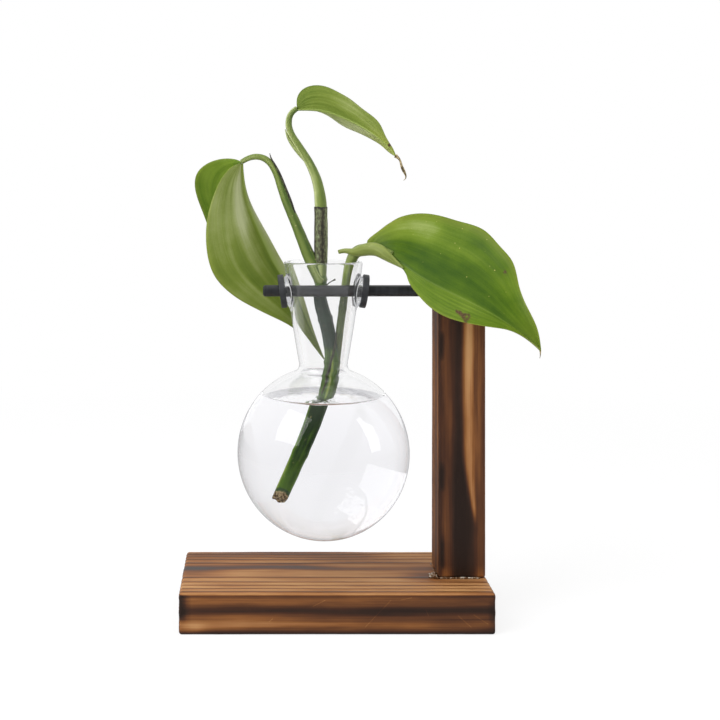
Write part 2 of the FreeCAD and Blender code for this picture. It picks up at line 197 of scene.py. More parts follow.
def sweep(places, radii, sides, start=(0, -1, 0)):
    """Rings of points round a line. radii has a row for each place, with one number or one for each side.

    The ring's first point lies in the start direction, which the frame keeps as it runs along the line."""
    places = np.asarray(places, float)
    ways = unit(np.gradient(places, axis=0))
    across = np.zeros_like(places)
    last = np.array(start, float)
    for i, way in enumerate(ways):
        last = unit(last - way * (last @ way))
        across[i] = last
    other = np.cross(ways, across)
    angles = turns(sides)
    radii = np.asarray(radii, float).reshape(len(places), -1)[:, :, None] * np.ones((1, sides, 1))
    rounds = across[:, None] * np.cos(angles)[None, :, None] + other[:, None] * np.sin(angles)[None, :, None]
    return places[:, None] + rounds * radii


def quads(rows, columns):
    """Faces of a grid of points, row by row, whose last column joins its first."""
    faces = []
    for row in range(rows - 1):
        for column in range(columns):
            beside = (column + 1) % columns
            faces.append((row * columns + column, row * columns + beside,
                          (row + 1) * columns + beside, (row + 1) * columns + column))
    return faces


def end_fans(rows, sides, caps):
    """Faces that shut a grid of rings at its first and last ring, on the two points from caps on."""
    last = (rows - 1) * sides
    return ([(caps, (i + 1) % sides, i) for i in range(sides)]
            + [(caps + 1, last + i, last + (i + 1) % sides) for i in range(sides)])


def tube_mesh(name, rings, **layers):
    """Closed mesh of a swept tube whose ends are shut by a fan. Layers have the rings' shape."""
    count, sides = rings.shape[:2]
    points = rings.reshape(-1, 3)
    ends = [rings[0].mean(0), rings[-1].mean(0)]
    faces = quads(count, sides) + end_fans(count, sides, len(points))
    full = {key: np.concatenate([np.ravel(grid), [np.mean(grid[0]), np.mean(grid[-1])]])
            for key, grid in layers.items()}
    return face_out(make_mesh(name, np.concatenate([points, ends]), faces, **full))


# Materials

WHITE = (1, 1, 1, 1)
GLASS_IOR = 1.47
WATER_IOR = 1.333
SCRATCH_WIDTH = 0.2


def add(tree, kind, inputs=None, **settings):
    """Adds a shader node. inputs gives sockets a value, a node or a socket; stops fill a colour ramp."""
    node = tree.nodes.new("ShaderNode" + kind)
    stops = settings.pop("stops", None)
    for name, value in settings.items():
        setattr(node, name, value)
    for key, value in (inputs or {}).items():
        socket = node.inputs[key]
        if isinstance(key, str):
            socket = next(s for s in node.inputs if s.name == key and s.enabled)
        if isinstance(value, bpy.types.Node):
            value = next(s for s in value.outputs if s.enabled)
        if isinstance(value, bpy.types.NodeSocket):
            tree.links.new(value, socket)
        else:
            socket.default_value = value
    if stops:
        elements = node.color_ramp.elements
        while len(elements) < len(stops):
            elements.new(0.5)
        for element, (place, tint) in zip(elements, stops):
            element.position = place
            element.color = colour(tint) if isinstance(tint, str) else (tint, tint, tint, 1)
    return node


def material(name):
    """A new material and its empty node tree."""
    made = bpy.data.materials.new(name)
    made.use_nodes = True
    made.node_tree.nodes.clear()
    return made, made.node_tree


def mottle(tree, size, detail=2.0, roughness=0.5, shift=0.0, place=None):
    """Noise with a wavelength in millimetres along x, y and z, in the object's axes or at a given place."""
    grain = [1 / length for length in size]
    if place is None:
        place = add(tree, "TexCoord").outputs["Object"]
        grain = [share / MM for share in grain]
    scaled = add(tree, "Mapping", {"Vector": place, "Location": (shift, shift, shift), "Scale": grain})
    return add(tree, "TexNoise", {"Vector": scaled, "Scale": 1.0, "Detail": detail, "Roughness": roughness})


def scratches(tree, lines):
    """Thin straight scratches on a face that looks along y. Each is the x and z of its two ends."""
    place = add(tree, "TexCoord").outputs["Object"]
    total = 0.0
    for x1, z1, x2, z2 in lines:
        length = math.hypot(x2 - x1, z2 - z1)
        way = ((x2 - x1) / length, 0, (z2 - z1) / length)
        off = ((z1 - z2) / length, 0, (x2 - x1) / length)
        beside = add(tree, "VectorMath", {0: place, 1: off}, operation="DOT_PRODUCT").outputs["Value"]
        beyond = add(tree, "VectorMath", {0: place, 1: way}, operation="DOT_PRODUCT").outputs["Value"]
        line_at = (x1 * off[0] + z1 * off[2]) * MM
        middle_at = ((x1 + x2) / 2 * way[0] + (z1 + z2) / 2 * way[2]) * MM
        on_line = add(tree, "Math", {0: beside, 1: line_at, 2: SCRATCH_WIDTH / 2 * MM}, operation="COMPARE")
        in_length = add(tree, "Math", {0: beyond, 1: middle_at, 2: length / 2 * MM}, operation="COMPARE")
        total = add(tree, "Math", {0: on_line, 1: in_length, 2: total}, operation="MULTIPLY_ADD")
    front = add(tree, "SeparateXYZ", {0: place}).outputs["Y"]
    front = add(tree, "Math", {0: front, 1: (BASE_LOW[1] + 1.0) * MM}, operation="LESS_THAN")
    return add(tree, "Math", {0: total, 1: front}, operation="MULTIPLY")


def weighted(tree, tone, *layers):
    """A tone with other layers added to it, each by its own weight."""
    for layer, weight in layers:
        tone = add(tree, "Math", {0: layer, 1: weight, 2: tone}, operation="MULTIPLY_ADD")
    return tone


def torched_pine(name, along, shift, marks=()):
    """Pine, torched and wire-brushed, then oiled: charred growth rings stand proud of paler, softer wood.

    The eye sees dark lines along the grain, scorched patches with honey-coloured wood left between, and a
    low satin sheen. The mesh holds the rings, the depth of the char and how clearly the rings show."""
    made, tree = material(name)
    layer = {key: add(tree, "Attribute", attribute_name=key).outputs["Fac"]
             for key in ("rings", "char", "contrast")}
    grains = []
    sizes = ((60.0, 0.45, 3.0, 0.6), (45.0, 2.4, 2.0, 0.5), (38.0, 9.0, 3.0, 0.55))
    for length, width, detail, roughness in sizes:
        size = [length if axis == along else width for axis in range(3)]
        grain = mottle(tree, size, detail, roughness, shift)
        grains.append(add(tree, "Math", {0: grain, 1: 0.5}, operation="SUBTRACT"))
    fibres, streaks, clouds = grains
    phase = add(tree, "Math", {0: layer["rings"]}, operation="FRACT")
    late = add(tree, "ValToRGB", {"Fac": phase}, stops=(
        (0.0, 0.70), (0.07, 0.12), (0.35, 0.0), (0.72, 0.08), (0.90, 0.75), (0.96, 1.0), (1.0, 0.70)))
    late = add(tree, "Math", {0: late, 1: layer["contrast"]}, operation="MULTIPLY")
    tone = weighted(tree, layer["char"], (late, 0.46), (fibres, 0.30), (streaks, 0.34), (clouds, 0.42))
    if marks:
        tone = weighted(tree, tone, (scratches(tree, marks), -0.16))
    tint = add(tree, "ValToRGB", {"Fac": tone}, stops=(
        (0.02, "bc8e5d"), (0.18, "a47245"), (0.34, "86542b"), (0.50, "633c21"),
        (0.66, "472a1b"), (0.82, "35231a"), (1.0, "281b15")))
    relief = weighted(tree, late, (fibres, 0.5))
    bump = add(tree, "Bump", {"Height": relief, "Strength": 0.35, "Distance": 0.25 * MM})
    gloss = add(tree, "MapRange", {"Value": tone, "From Min": 0.1, "From Max": 0.9,
                                   "To Min": 0.62, "To Max": 0.42})
    shader = add(tree, "BsdfPrincipled", {"Base Color": tint, "Roughness": gloss, "Normal": bump,
                                          "Specular IOR Level": 0.22})
    add(tree, "OutputMaterial", {"Surface": shader})
    return made


def black_rod_paint():
    """Steel rod, powder-coated satin black: near black, with a soft highlight and a trace of orange peel."""
    made, tree = material("satin_black_powder_coat")
    grain = mottle(tree, (0.5, 0.5, 0.5), 2.0)
    rub = mottle(tree, (1.2, 9.0, 9.0), 2.0)
    tint = add(tree, "ValToRGB", {"Fac": rub}, stops=((0.35, "1d1f21"), (0.7, "2c2e31")))
    gloss = add(tree, "MapRange", {"Value": rub, "To Min": 0.30, "To Max": 0.46})
    bump = add(tree, "Bump", {"Height": grain, "Strength": 0.12, "Distance": 0.05 * MM})
    shader = add(tree, "BsdfPrincipled", {"Base Color": tint, "Roughness": gloss, "Normal": bump})
    add(tree, "OutputMaterial", {"Surface": shader})
    return made


def black_rubber():
    """Moulded nitrile rubber: black, matt, with a faint grey bloom and fine grain."""
    made, tree = material("moulded_nitrile_rubber")
    bloom = mottle(tree, (2.5, 2.5, 2.5), 4.0, 0.6)
    tint = add(tree, "ValToRGB", {"Fac": bloom}, stops=((0.3, "232426"), (0.75, "3b3d40")))
    gloss = add(tree, "MapRange", {"Value": bloom, "To Min": 0.42, "To Max": 0.62})
    bump = add(tree, "Bump", {"Height": mottle(tree, (0.3, 0.3, 0.3), 2.0), "Strength": 0.2,
                              "Distance": 0.04 * MM})
    shader = add(tree, "BsdfPrincipled", {"Base Color": tint, "Roughness": gloss, "Normal": bump})
    add(tree, "OutputMaterial", {"Surface": shader})
    return made


def zinc_plate():
    """Wood screw, zinc plated: pale metal with a slight yellow passivation and fine drawn scratches."""
    made, tree = material("zinc_plated_steel")
    scratch = mottle(tree, (0.25, 0.25, 3.0), 3.0)
    tint = add(tree, "ValToRGB", {"Fac": scratch}, stops=((0.3, "b9b5a6"), (0.7, "d3d0c4")))
    gloss = add(tree, "MapRange", {"Value": scratch, "To Min": 0.25, "To Max": 0.42})
    shader = add(tree, "BsdfPrincipled", {"Base Color": tint, "Metallic": 1.0, "Roughness": gloss})
    add(tree, "OutputMaterial", {"Surface": shader})
    return made


def clear_look(tree, surface, joined, shade):
    """A clear surface that casts a faint shadow, and where a ray is trapped it glows in the room's tone, a
    painted glow that stands in for the trapped light.

    Where glass and water touch, which the mesh holds, the joined surface takes its place."""
    wetted = add(tree, "Attribute", attribute_name="wetted").outputs["Fac"]
    surface = add(tree, "MixShader", {0: wetted, 1: surface, 2: joined})
    path = add(tree, "LightPath")
    # Painted glow: after a few glossy bounces the surface emits white in the room's tone instead of going
    # dark.
    trapped = add(tree, "Math", {0: path.outputs["Glossy Depth"], 1: 2.5}, operation="GREATER_THAN")
    room = add(tree, "Emission", {"Color": WHITE, "Strength": 0.7})
    surface = add(tree, "MixShader", {0: trapped, 1: surface, 2: room})
    clear = add(tree, "BsdfTransparent", {"Color": shade})
    return add(tree, "MixShader", {0: path.outputs["Is Shadow Ray"], 1: surface, 2: clear})


def blown_glass():
    """Blown borosilicate: colourless where seen straight through, with greyer edges where it is deep."""
    made, tree = material("blown_borosilicate_glass")
    wave = add(tree, "Bump", {"Height": mottle(tree, (14.0, 14.0, 18.0), 1.0), "Strength": 0.06,
                              "Distance": 0.25 * MM})
    glass = add(tree, "BsdfPrincipled", {"Base Color": WHITE, "Roughness": 0.0, "IOR": GLASS_IOR,
                                         "Transmission Weight": 1.0, "Normal": wave})
    joined = add(tree, "BsdfRefraction", {"Color": WHITE, "Roughness": 0.0, "IOR": GLASS_IOR / WATER_IOR})
    seen = clear_look(tree, glass, joined, (0.93, 0.94, 0.95, 1))
    depth = add(tree, "VolumeAbsorption", {"Color": (0.72, 0.73, 0.78, 1), "Density": 22.0})
    add(tree, "OutputMaterial", {"Surface": seen, "Volume": depth})
    return made


def still_water():
    """Tap water: clear, with the faintest cool tint through the bulb's depth."""
    made, tree = material("tap_water")
    water = add(tree, "BsdfPrincipled", {"Base Color": WHITE, "Roughness": 0.0, "IOR": WATER_IOR,
                                         "Transmission Weight": 1.0})
    joined = add(tree, "BsdfTransparent", {"Color": WHITE})
    seen = clear_look(tree, water, joined, (0.97, 0.975, 0.98, 1))
    depth = add(tree, "VolumeAbsorption", {"Color": (0.80, 0.79, 0.86, 1), "Density": 4.5})
    add(tree, "OutputMaterial", {"Surface": seen, "Volume": depth})
    return made


def set_glue():
    """Hot glue, set: milky, a little translucent, with a waxy shine."""
    made, tree = material("set_hot_glue")
    cloud = mottle(tree, (1.1, 1.1, 1.1), 3.0)
    tint = add(tree, "ValToRGB", {"Fac": cloud}, stops=((0.40, "5a3a22"), (0.54, "8f6f4e"), (0.66, "e9e0d0")))
    shader = add(tree, "BsdfPrincipled", {"Base Color": tint, "Roughness": 0.25, "Transmission Weight": 0.35,
                                          "IOR": 1.48})
    add(tree, "OutputMaterial", {"Surface": shader})
    return made


def green_bark(name, dark, mid, light, gloss=0.42):
    """Skin of a living stem or stalk: fine stripes along it, brown flecks, a dull sheen, and a paler side
    that is painted light.

    Layers of the mesh say where it is paler or darker, mostly painted light and shade on one side of the
    tube, where it is greyer, by painted shade inside the glass neck and by the stem's own grey at its cut,
    where it is dead, or under water, where its sheen is gone."""
    made, tree = material(name)
    layer = {key: add(tree, "Attribute", attribute_name=key).outputs["Fac"]
             for key in ("side", "back", "run", "flank", "grey", "brown", "wet")}
    place = add(tree, "CombineXYZ", {0: layer["side"], 1: layer["back"], 2: layer["run"]})
    stripes = mottle(tree, (1.5, 1.5, 22.0), 1.0, place=place)
    cloud = mottle(tree, (2.5, 2.5, 9.0), 2.0, place=place)
    flecks = mottle(tree, (1.0, 1.0, 1.6), 1.0, place=place)
    tone = weighted(tree, layer["flank"], (stripes, 0.40), (cloud, 0.35))
    tint = add(tree, "ValToRGB", {"Fac": tone}, stops=((0.15, dark), (0.45, mid), (0.85, light)))
    # Painted shade: the grey layer turns the skin dark grey-green inside the glass neck; near the stem's cut
    # the same grey is the skin's own.
    cut_grey_and_painted_shade = add(tree, "Mix", {"Factor": layer["grey"], "A": tint, "B": colour("24322a")}, data_type="RGBA")
    mark = add(tree, "MapRange", {"Value": flecks, "From Min": 0.72, "From Max": 0.78, "To Max": 0.45})
    mark = add(tree, "Math", {0: mark, 1: layer["brown"]}, operation="MAXIMUM")
    dead = add(tree, "ValToRGB", {"Fac": flecks}, stops=((0.40, "4c3522"), (0.60, "c4ae84")))
    skin = add(tree, "Mix", {"Factor": mark, "A": cut_grey_and_painted_shade, "B": dead}, data_type="RGBA")
    bump = add(tree, "Bump", {"Height": stripes, "Strength": 0.15, "Distance": 0.10 * MM})
    sheen = add(tree, "MapRange", {"Value": layer["wet"], "To Min": 0.30, "To Max": 0.02})
    shader = add(tree, "BsdfPrincipled", {"Base Color": skin, "Roughness": gloss, "Normal": bump,
                                          "Specular IOR Level": sheen})
    add(tree, "OutputMaterial", {"Surface": shader})
    return made


def dry_sheath_skin():
    """Dead sheath tissue: papery, mottled from near black to pale grey-green, with no shine."""
    made, tree = material("dry_papery_sheath")
    patch = mottle(tree, (0.9, 0.9, 1.8), 4.0, 0.7)
    flank = add(tree, "Attribute", attribute_name="flank").outputs["Fac"]
    tone = weighted(tree, flank, (patch, 1.1))
    tint = add(tree, "ValToRGB", {"Fac": tone}, stops=(
        (0.45, "2b2a20"), (0.62, "4c4a35"), (0.78, "6f7853"), (0.95, "9aa47c")))
    bump = add(tree, "Bump", {"Height": patch, "Strength": 0.6, "Distance": 0.25 * MM})
    shader = add(tree, "BsdfPrincipled", {"Base Color": tint, "Roughness": 0.7, "Normal": bump})
    add(tree, "OutputMaterial", {"Surface": shader})
    return made


# Wood: the base block and the post

RING_SPACING = 3.3
POST_RING_SPACING = 2.9
RELIEF_DEPTH = 0.14
FIBRE_DEPTH = 0.03
BASE_EDGE = 1.4
POST_EDGE = 1.3
PITH_DROP = 24.0
PITH_SHIFT = 1.0
DRILL_SIDES = 48
SOCKET_DEPTH = 16.5
SOCKET_PLAY = 0.08
SCREW_PLAY = 0.15
SHANK_HOLE_RADIUS = 2.15
COUNTERSINK_DEPTH = 2.6
BEAD_OFF = 0.45
BEAD_RISE = 0.3
BEAD_END = 2.2
GLUE_VOXEL = 0.22


def edge_stops(low, high, edge, step):
    """Places along one side of a block: close together over its rounded edges, and evenly spaced between."""
    corner = edge * (1 - np.tan(np.linspace(math.pi / 4, 0, 5)))
    inner = np.linspace(low + edge, high - edge, max(2, round((high - low) / step)))
    return np.concatenate([low + corner[:-1], inner, (high - corner[:-1])[::-1]])


def rounded_block(low, high, edge, steps):
    """Points, outward directions and faces of a block with rounded edges, as a grid of the given steps."""
    lines = [edge_stops(low[a], high[a], edge, steps[a]) for a in range(3)]
    index, cells, faces = {}, [], []
    for axis in range(3):
        one, two = (axis + 1) % 3, (axis + 2) % 3
        for end in (0, len(lines[axis]) - 1):
            for i in range(len(lines[one]) - 1):
                for j in range(len(lines[two]) - 1):
                    face = []
                    for di, dj in ((0, 0), (1, 0), (1, 1), (0, 1)):
                        cell = [0, 0, 0]
                        cell[axis], cell[one], cell[two] = end, i + di, j + dj
                        cell = tuple(cell)
                        if cell not in index:
                            index[cell] = len(cells)
                            cells.append(cell)
                        face.append(index[cell])
                    faces.append(face if end else face[::-1])
    points = np.stack([lines[a][np.array([cell[a] for cell in cells])] for a in range(3)], axis=1)
    inside = np.clip(points, low + edge, high - edge)
    out = unit(points - inside)
    return inside + out * edge, out, faces


def brushed(points, out, rings):
    """Sinks the soft wood between the growth rings, as a wire brush does."""
    phase = rings % 1.0
    ridge = near(phase - 0.92, 0.12) + near(phase + 0.08, 0.10)
    fibre = wander(points, (5.0, 1.2, 5.0), 7.7)
    return points + out * (RELIEF_DEPTH * (ridge - 1.0) + FIBRE_DEPTH * fibre)[:, None]


def evaluated(mesh, *modifiers):
    """A copy of a mesh with modifiers applied. Each is a kind and its settings."""
    holder = bpy.data.objects.new("workpiece", mesh)
    bpy.context.scene.collection.objects.link(holder)
    for kind, settings in modifiers:
        modifier = holder.modifiers.new(kind, kind)
        for name, value in settings.items():
            setattr(modifier, name, value)
    shaped = bpy.data.meshes.new_from_object(holder.evaluated_get(bpy.context.evaluated_depsgraph_get()))
    bpy.data.objects.remove(holder)
    shaped.polygons.foreach_set("use_smooth", [True] * len(shaped.polygons))
    return shaped


def drilled(mesh, outline, centre, axis):
    """Cuts a turned shape out of a mesh. Its outline is radius and distance along the axis from centre."""
    angles = turns(DRILL_SIDES)
    across = np.roll(axis, 1)
    other = np.cross(axis, across)
    rounds = across[None] * np.cos(angles)[:, None] + other[None] * np.sin(angles)[:, None]
    rings = np.array([centre + axis * way + rounds * radius for radius, way in outline])
    cutter = bpy.data.objects.new("cutter", tube_mesh("cutter", rings))
    bpy.context.scene.collection.objects.link(cutter)
    shaped = evaluated(mesh, ("BOOLEAN", {"object": cutter, "operation": "DIFFERENCE", "solver": "EXACT"}))
    bpy.data.objects.remove(cutter)
    return shaped


def make_base():
    """Base block: flat-sawn pine whose pith runs below it, so that the rings show as lines along the top.

    Each term of the char is one scorched or pale patch: its depth, its place and its width in millimetres."""
    points, out, faces = rounded_block(BASE_LOW, BASE_HIGH, BASE_EDGE, (2.2, 0.7, 0.7))
    x, y, z = points.T
    drift = wander(points, (80.0, 26.0, 26.0), 3.1)
    radius = np.hypot(y - PITH_SHIFT + 2.2 * drift, z - BASE_HIGH[2] + PITH_DROP) + 0.9 * drift
    rings = radius / RING_SPACING
    top = step_up(z, BASE_HIGH[2] - 1.5, BASE_HIGH[2] - 0.3)
    front = 1 - step_up(y, BASE_LOW[1] + 0.2, BASE_LOW[1] + 1.2)
    back = step_up(y, BASE_HIGH[1] - 1.2, BASE_HIGH[1] - 0.2)
    left = 1 - step_up(x, BASE_LOW[0] + 0.3, BASE_LOW[0] + 5.0)
    right = step_up(x, BASE_HIGH[0] - 4.0, BASE_HIGH[0] - 0.3)
    sway = 1.1 * wander(points, (55.0, 500.0, 500.0), 5.3)
    slow = wander(points, (34.0, 500.0, 500.0), 2.3)
    dark_line = (0.55 + 0.15 * slow) * near(y - 5.0 - 3 * sway, 3.3) * (1 - 0.6 * step_up(x, -20.0, 40.0))
    scorch_top = (0.10 + dark_line
                  + 0.16 * near(y - 4.0 - 5 * sway, 3.2 + 2.2 * slow) * step_up(0.5 - slow, 0.1, 0.5)
                  + 0.30 * near(y - 26.0 - 3 * sway, 7.0) * (1 - step_up(x, 5.0, 40.0))
                  + 0.16 * near(y - 13.0 + 4 * sway, 3.0)
                  + 0.40 * near(np.hypot((x - POST_LOW[0] + 4) / 1.5, y + 7.0), 8.0)
                  + 0.30 * near(np.hypot((x + 66.0) / 1.7, y - 1.0), 9.0)
                  + 0.18 * near(y + 31.0, 1.6))
    bands = (0.34 * near(z - 17.9 - 0.2 * sway, 1.1) + (0.34 + 0.12 * slow) * near(z - 10.7 - 1.2 * sway, 1.9)
             + 0.42 * near(z - 0.4, 1.5) - (0.10 - 0.14 * slow) * near(z - 14.6 - 0.6 * sway, 1.2)
             - (0.17 + 0.12 * slow) * near(z - 5.0 - 1.0 * sway, 1.6))
    scorch_side = 0.42 + bands + 0.60 * left * step_up(z, 5.5, 9.0)
    scorch_side -= 0.20 * near(np.hypot((x + 63.0) / 1.8, z - 3.8), 2.8)
    scorch_side += 0.30 * right * near(z - 9.0, 6.0) + 0.10 * step_up(x, 0.0, 50.0)
    char = top * scorch_top + (1 - top) * (front * scorch_side + back * (0.36 + bands) +
                                           (1 - front - back).clip(0, 1) * 0.56)
    contrast = 0.18 + 0.82 * top * (0.45 + 0.55 * (1 - near(y - 2.0, 10.0)))
    layers = {"rings": rings, "char": char, "contrast": contrast}
    mesh = make_mesh("base_block_wood", brushed(points, out, rings), faces, **layers)
    screw_x = (SCREW_LOW[0] + SCREW_HIGH[0]) / 2
    head = (SCREW_HIGH[0] - SCREW_LOW[0]) / 2 + SCREW_PLAY
    hole = ((head, -1.0), (head, SCREW_LOW[2]), (SHANK_HOLE_RADIUS, SCREW_LOW[2] + COUNTERSINK_DEPTH),
            (SHANK_HOLE_RADIUS, BASE_HIGH[2] + 1.0))
    mesh = drilled(mesh, hole, (screw_x, 0, 0), np.array((0.0, 0.0, 1.0)))
    marks = ((-10.7, 12.8, -5.1, 15.6), (12.2, 3.5, 23.8, 15.6), (28.0, 15.6, 33.0, 16.6),
             (53.2, 8.7, 59.2, 3.5), (60.1, 9.1, 66.6, 4.9), (-30.0, 6.0, -28.4, 7.4),
             (39.0, 11.5, 40.2, 8.6))
    wood = torched_pine("torched_pine_base", 0, 0.0, marks)
    piece("base_block_wood", mesh, "stand", "base_wood", wood, "base_block")


def make_post():
    """Post: the same pine, charred almost black, with one streak of honey-coloured wood down its front."""
    low, high = POST_LOW, POST_HIGH
    points, out, faces = rounded_block(low, high, POST_EDGE, (0.6, 0.6, 2.4))
    x, y, z = points.T
    drift = wander(points, (14.0, 14.0, 70.0), 9.2)
    rings = np.hypot(x - low[0] - 17.0 + 1.5 * drift, y - 26.0) / POST_RING_SPACING
    front = 1 - step_up(y, low[1] + 0.2, low[1] + 1.2)
    left = 1 - step_up(x, low[0] + 0.2, low[0] + 1.2)
    sway = 0.7 * wander(points, (500.0, 500.0, 42.0), 1.9)
    from_left = x - low[0]
    fade = step_up(z, 40.0, 84.0)
    streak = near(from_left - 13.8 - 3.2 * (1 - step_up(z, 40.0, 78.0)) - 0.6 * sway, 0.9 + 2.2 * fade)
    streak = streak * step_up(z, 41.0, 52.0)
    rim = near(from_left - 13.6 - 0.6 * sway, 4.6) - near(from_left - 13.6 - 0.6 * sway, 3.4)
    dashes = step_up(wander(points, (900, 900, 13.0), 3.3), -0.1, 0.2)
    face = (0.66 + 0.30 * near(from_left - 9.5 - sway, 2.8) + 0.22 * near(from_left - 12.0, 5.0) * (1 - fade)
            - 0.08 * near(from_left - 4.5, 2.5) - 0.20 * step_up(from_left, 16.6, 19.0)
            + 0.34 * near(from_left - 1.8 - 0.8 * sway, 1.0) * dashes - 0.62 * streak - 0.2 * rim * fade)
    face -= 0.22 * near(z - low[2] - 1.5, 2.6) * (near(from_left - 4.0, 4.0) + near(from_left - 19.0, 3.5))
    side = 0.34 + 0.18 * near(z - 150.0 + 20 * sway, 30.0) + 0.22 * near(y + 4.0 - sway, 3.0) + 0.2 * sway
    other = 0.56 + 0.2 * sway
    char = front * face + (1 - front) * (left * side + (1 - left) * other)
    points = brushed(points, out, rings)
    mesh = make_mesh("post_wood", points, faces, rings=rings, char=char, contrast=0.35 + 0 * char)
    socket = ((ROD_RADIUS + SOCKET_PLAY, -1.0), (ROD_RADIUS + SOCKET_PLAY, SOCKET_DEPTH))
    mesh = drilled(mesh, socket, (low[0], 0, ROD_HEIGHT), np.array((1.0, 0.0, 0.0)))
    piece("post_wood", mesh, "stand", "post_wood", torched_pine("torched_pine_post", 2, 4.0), "post")


def make_glue():
    """Set glue round the post's foot: an uneven bead on three sides, and a bubbly blob at a corner."""
    low, high = POST_LOW, POST_HIGH
    back, left, front, end = high[1] + BEAD_OFF, low[0] - BEAD_OFF, low[1] - BEAD_OFF, high[0] - BEAD_END
    corners = np.array(((end, back), (left, back), (left, front), (end, front)))
    corners = np.column_stack([corners, np.full(4, low[2] + BEAD_RISE)])
    path = np.concatenate([np.linspace(start, stop, 60, endpoint=False)
                           for start, stop in zip(corners, corners[1:])] + [corners[-1:]])
    lumps = 0.42 + 0.26 * wander(path, (3.2, 3.2, 3.2), 0.4) + 0.20 * wander(path, (1.6, 1.6, 1.6), 2.2)
    lumps *= 0.35 + 0.65 * step_up(-path[:, 1], -low[1] - 6.0, -low[1] - 2.0)
    lumps *= step_up(np.arange(len(path)), -1, 5) * step_up(-np.arange(len(path)), -len(path), -len(path) + 5)
    rings = sweep(path, lumps, 12, (0, 0, 1))
    shape = bmesh.new()
    shape.from_mesh(tube_mesh("bead", rings))
    blobs = ((-2.0, 2.2, 0.5, 1.5), (-3.0, 3.9, 0.3, 1.0), (-1.4, 0.6, 0.7, 1.3), (-3.2, 1.6, 0.2, 0.9),
             (-1.0, 4.4, 0.5, 1.1), (-2.4, 5.2, 0.1, 0.7), (-0.9, 2.6, 1.1, 0.9))
    for across, deep, rise, radius in blobs:
        place = Matrix.Translation(Vector((low[0] + across, low[1] + deep, low[2] + rise)) * MM)
        bmesh.ops.create_icosphere(shape, subdivisions=3, radius=radius * MM, matrix=place)
    mesh = bpy.data.meshes.new("glue")
    shape.to_mesh(mesh)
    shape.free()
    mesh = evaluated(mesh, ("REMESH", {"mode": "VOXEL", "voxel_size": GLUE_VOXEL * MM}),
                     ("SMOOTH", {"factor": 0.5, "iterations": 3}))
    for vertex in mesh.vertices:
        vertex.co.z = max(vertex.co.z, (low[2] + 0.02) * MM)
    piece("glue_bead_set", mesh, "stand", "glue", set_glue(), "glue_bead")


# Glass and water

WALL = 1.6
NECK_ROOT_RADIUS = 10.3
NECK_ROOT_DEPTH = 4.0
NECK_BELLY = 0.45
RIM_RADIUS = 18.4
SHOULDER = 3.5
HOLE_RADIUS = 3.1
HOLE_DROP = 0.35
LIP_RISE = 1.0
LIP_FOOT = 7.6
LIP_UNEVENNESS = 0.35
LIP_DRIP = 2.2
DRIP_WIDTH = 0.42
PLAIN_FOOT = 4.6
# Radius round a hole, and how far the wall has turned into the lip's flat face there
LIP_PROFILE = ((7.1, 0.06), (6.85, 0.25), (6.7, 0.55), (6.5, 0.82), (6.2, 0.96), (5.9, 1.0), (5.0, 0.98),
               (4.2, 0.97), (3.7, 0.96), (3.35, 0.88), (3.16, 0.72), (HOLE_RADIUS, 0.5))
# The same inside, where the wall stays plain, and how much thinner it is there
PLAIN_PROFILE = ((4.0, 0.0), (3.5, 0.0), (3.2, 0.12), (HOLE_RADIUS, 0.3))
BEAD_SWELL = 1.06
GLASS_SIDES = 180
HOLE_COLUMNS = 15
HOLE_ROWS = 30
HOLE_BLOCK = 8.5
WATER_LEVEL = 99.1
WATER_RISE = 1.8
WATER_OVERLAP = 0.07
# Height, wavelengths and shift of each layer of the water's ripples
RIPPLES = ((0.75, (6.0, 8.0, 1.0), 0.2), (0.36, (2.6, 3.6, 1.0), 1.7), (0.20, (1.5, 2.0, 1.0), 4.1))
# How far from the glass the water's rise reaches. Then where the stem comes through the surface, its radius
# there, and how high and how far out the water climbs it
MENISCUS = 1.1
STEM_AT_SURFACE = (-3.3, 1.6)
STEM_REACH = 3.4
STEM_CLIMB = 0.9
CLIMB_WIDTH = 1.3
# The rings beside the water's edge lie this close to it, so that the edge is sharp
EDGE_GAP = 0.001


def circle_through(a, b, c):
    """Centre and radius of the circle through three places in a plane."""
    a, b, c = (np.array(place, float) for place in (a, b, c))
    turned = np.array(((0.0, 1.0), (-1.0, 0.0)))
    double = 2 * (b - a) @ (turned @ (c - a))
    centre = a + (turned @ (c - a) * ((b - a) @ (b - a)) - turned @ (b - a) * ((c - a) @ (c - a))) / double
    return centre, np.linalg.norm(a - centre)


NECK_ROOT_HEIGHT = BULB_HEIGHT + BULB_RADIUS - NECK_ROOT_DEPTH
NECK_CENTRE, NECK_ARC = circle_through(
    (NECK_ROOT_RADIUS, NECK_ROOT_HEIGHT),
    ((NECK_ROOT_RADIUS + RIM_RADIUS) / 2 + NECK_BELLY, (NECK_ROOT_HEIGHT + RIM_HEIGHT) / 2),
    (RIM_RADIUS, RIM_HEIGHT))
BULB_CENTRE = np.array((0.0, BULB_HEIGHT))


def neck_radius(height, inset=0.0):
    """Radius of the neck's wall at a height, on its outside or drawn in by inset."""
    return NECK_CENTRE[0] + np.sqrt((NECK_ARC - inset) ** 2 - (height - NECK_CENTRE[1]) ** 2)


def shoulder_centre():
    """Centre of the arc that joins bulb and neck, outside both."""
    far_bulb, far_neck = BULB_RADIUS + SHOULDER, NECK_ARC + SHOULDER
    span = NECK_CENTRE - BULB_CENTRE
    apart = np.linalg.norm(span)
    along = (far_bulb ** 2 - far_neck ** 2 + apart ** 2) / (2 * apart)
    off = math.sqrt(far_bulb ** 2 - along ** 2)
    way = span / apart
    middle = BULB_CENTRE + way * along
    side = np.array((-way[1], way[0])) * off
    return max((middle + side, middle - side), key=lambda place: place[0] + place[1])


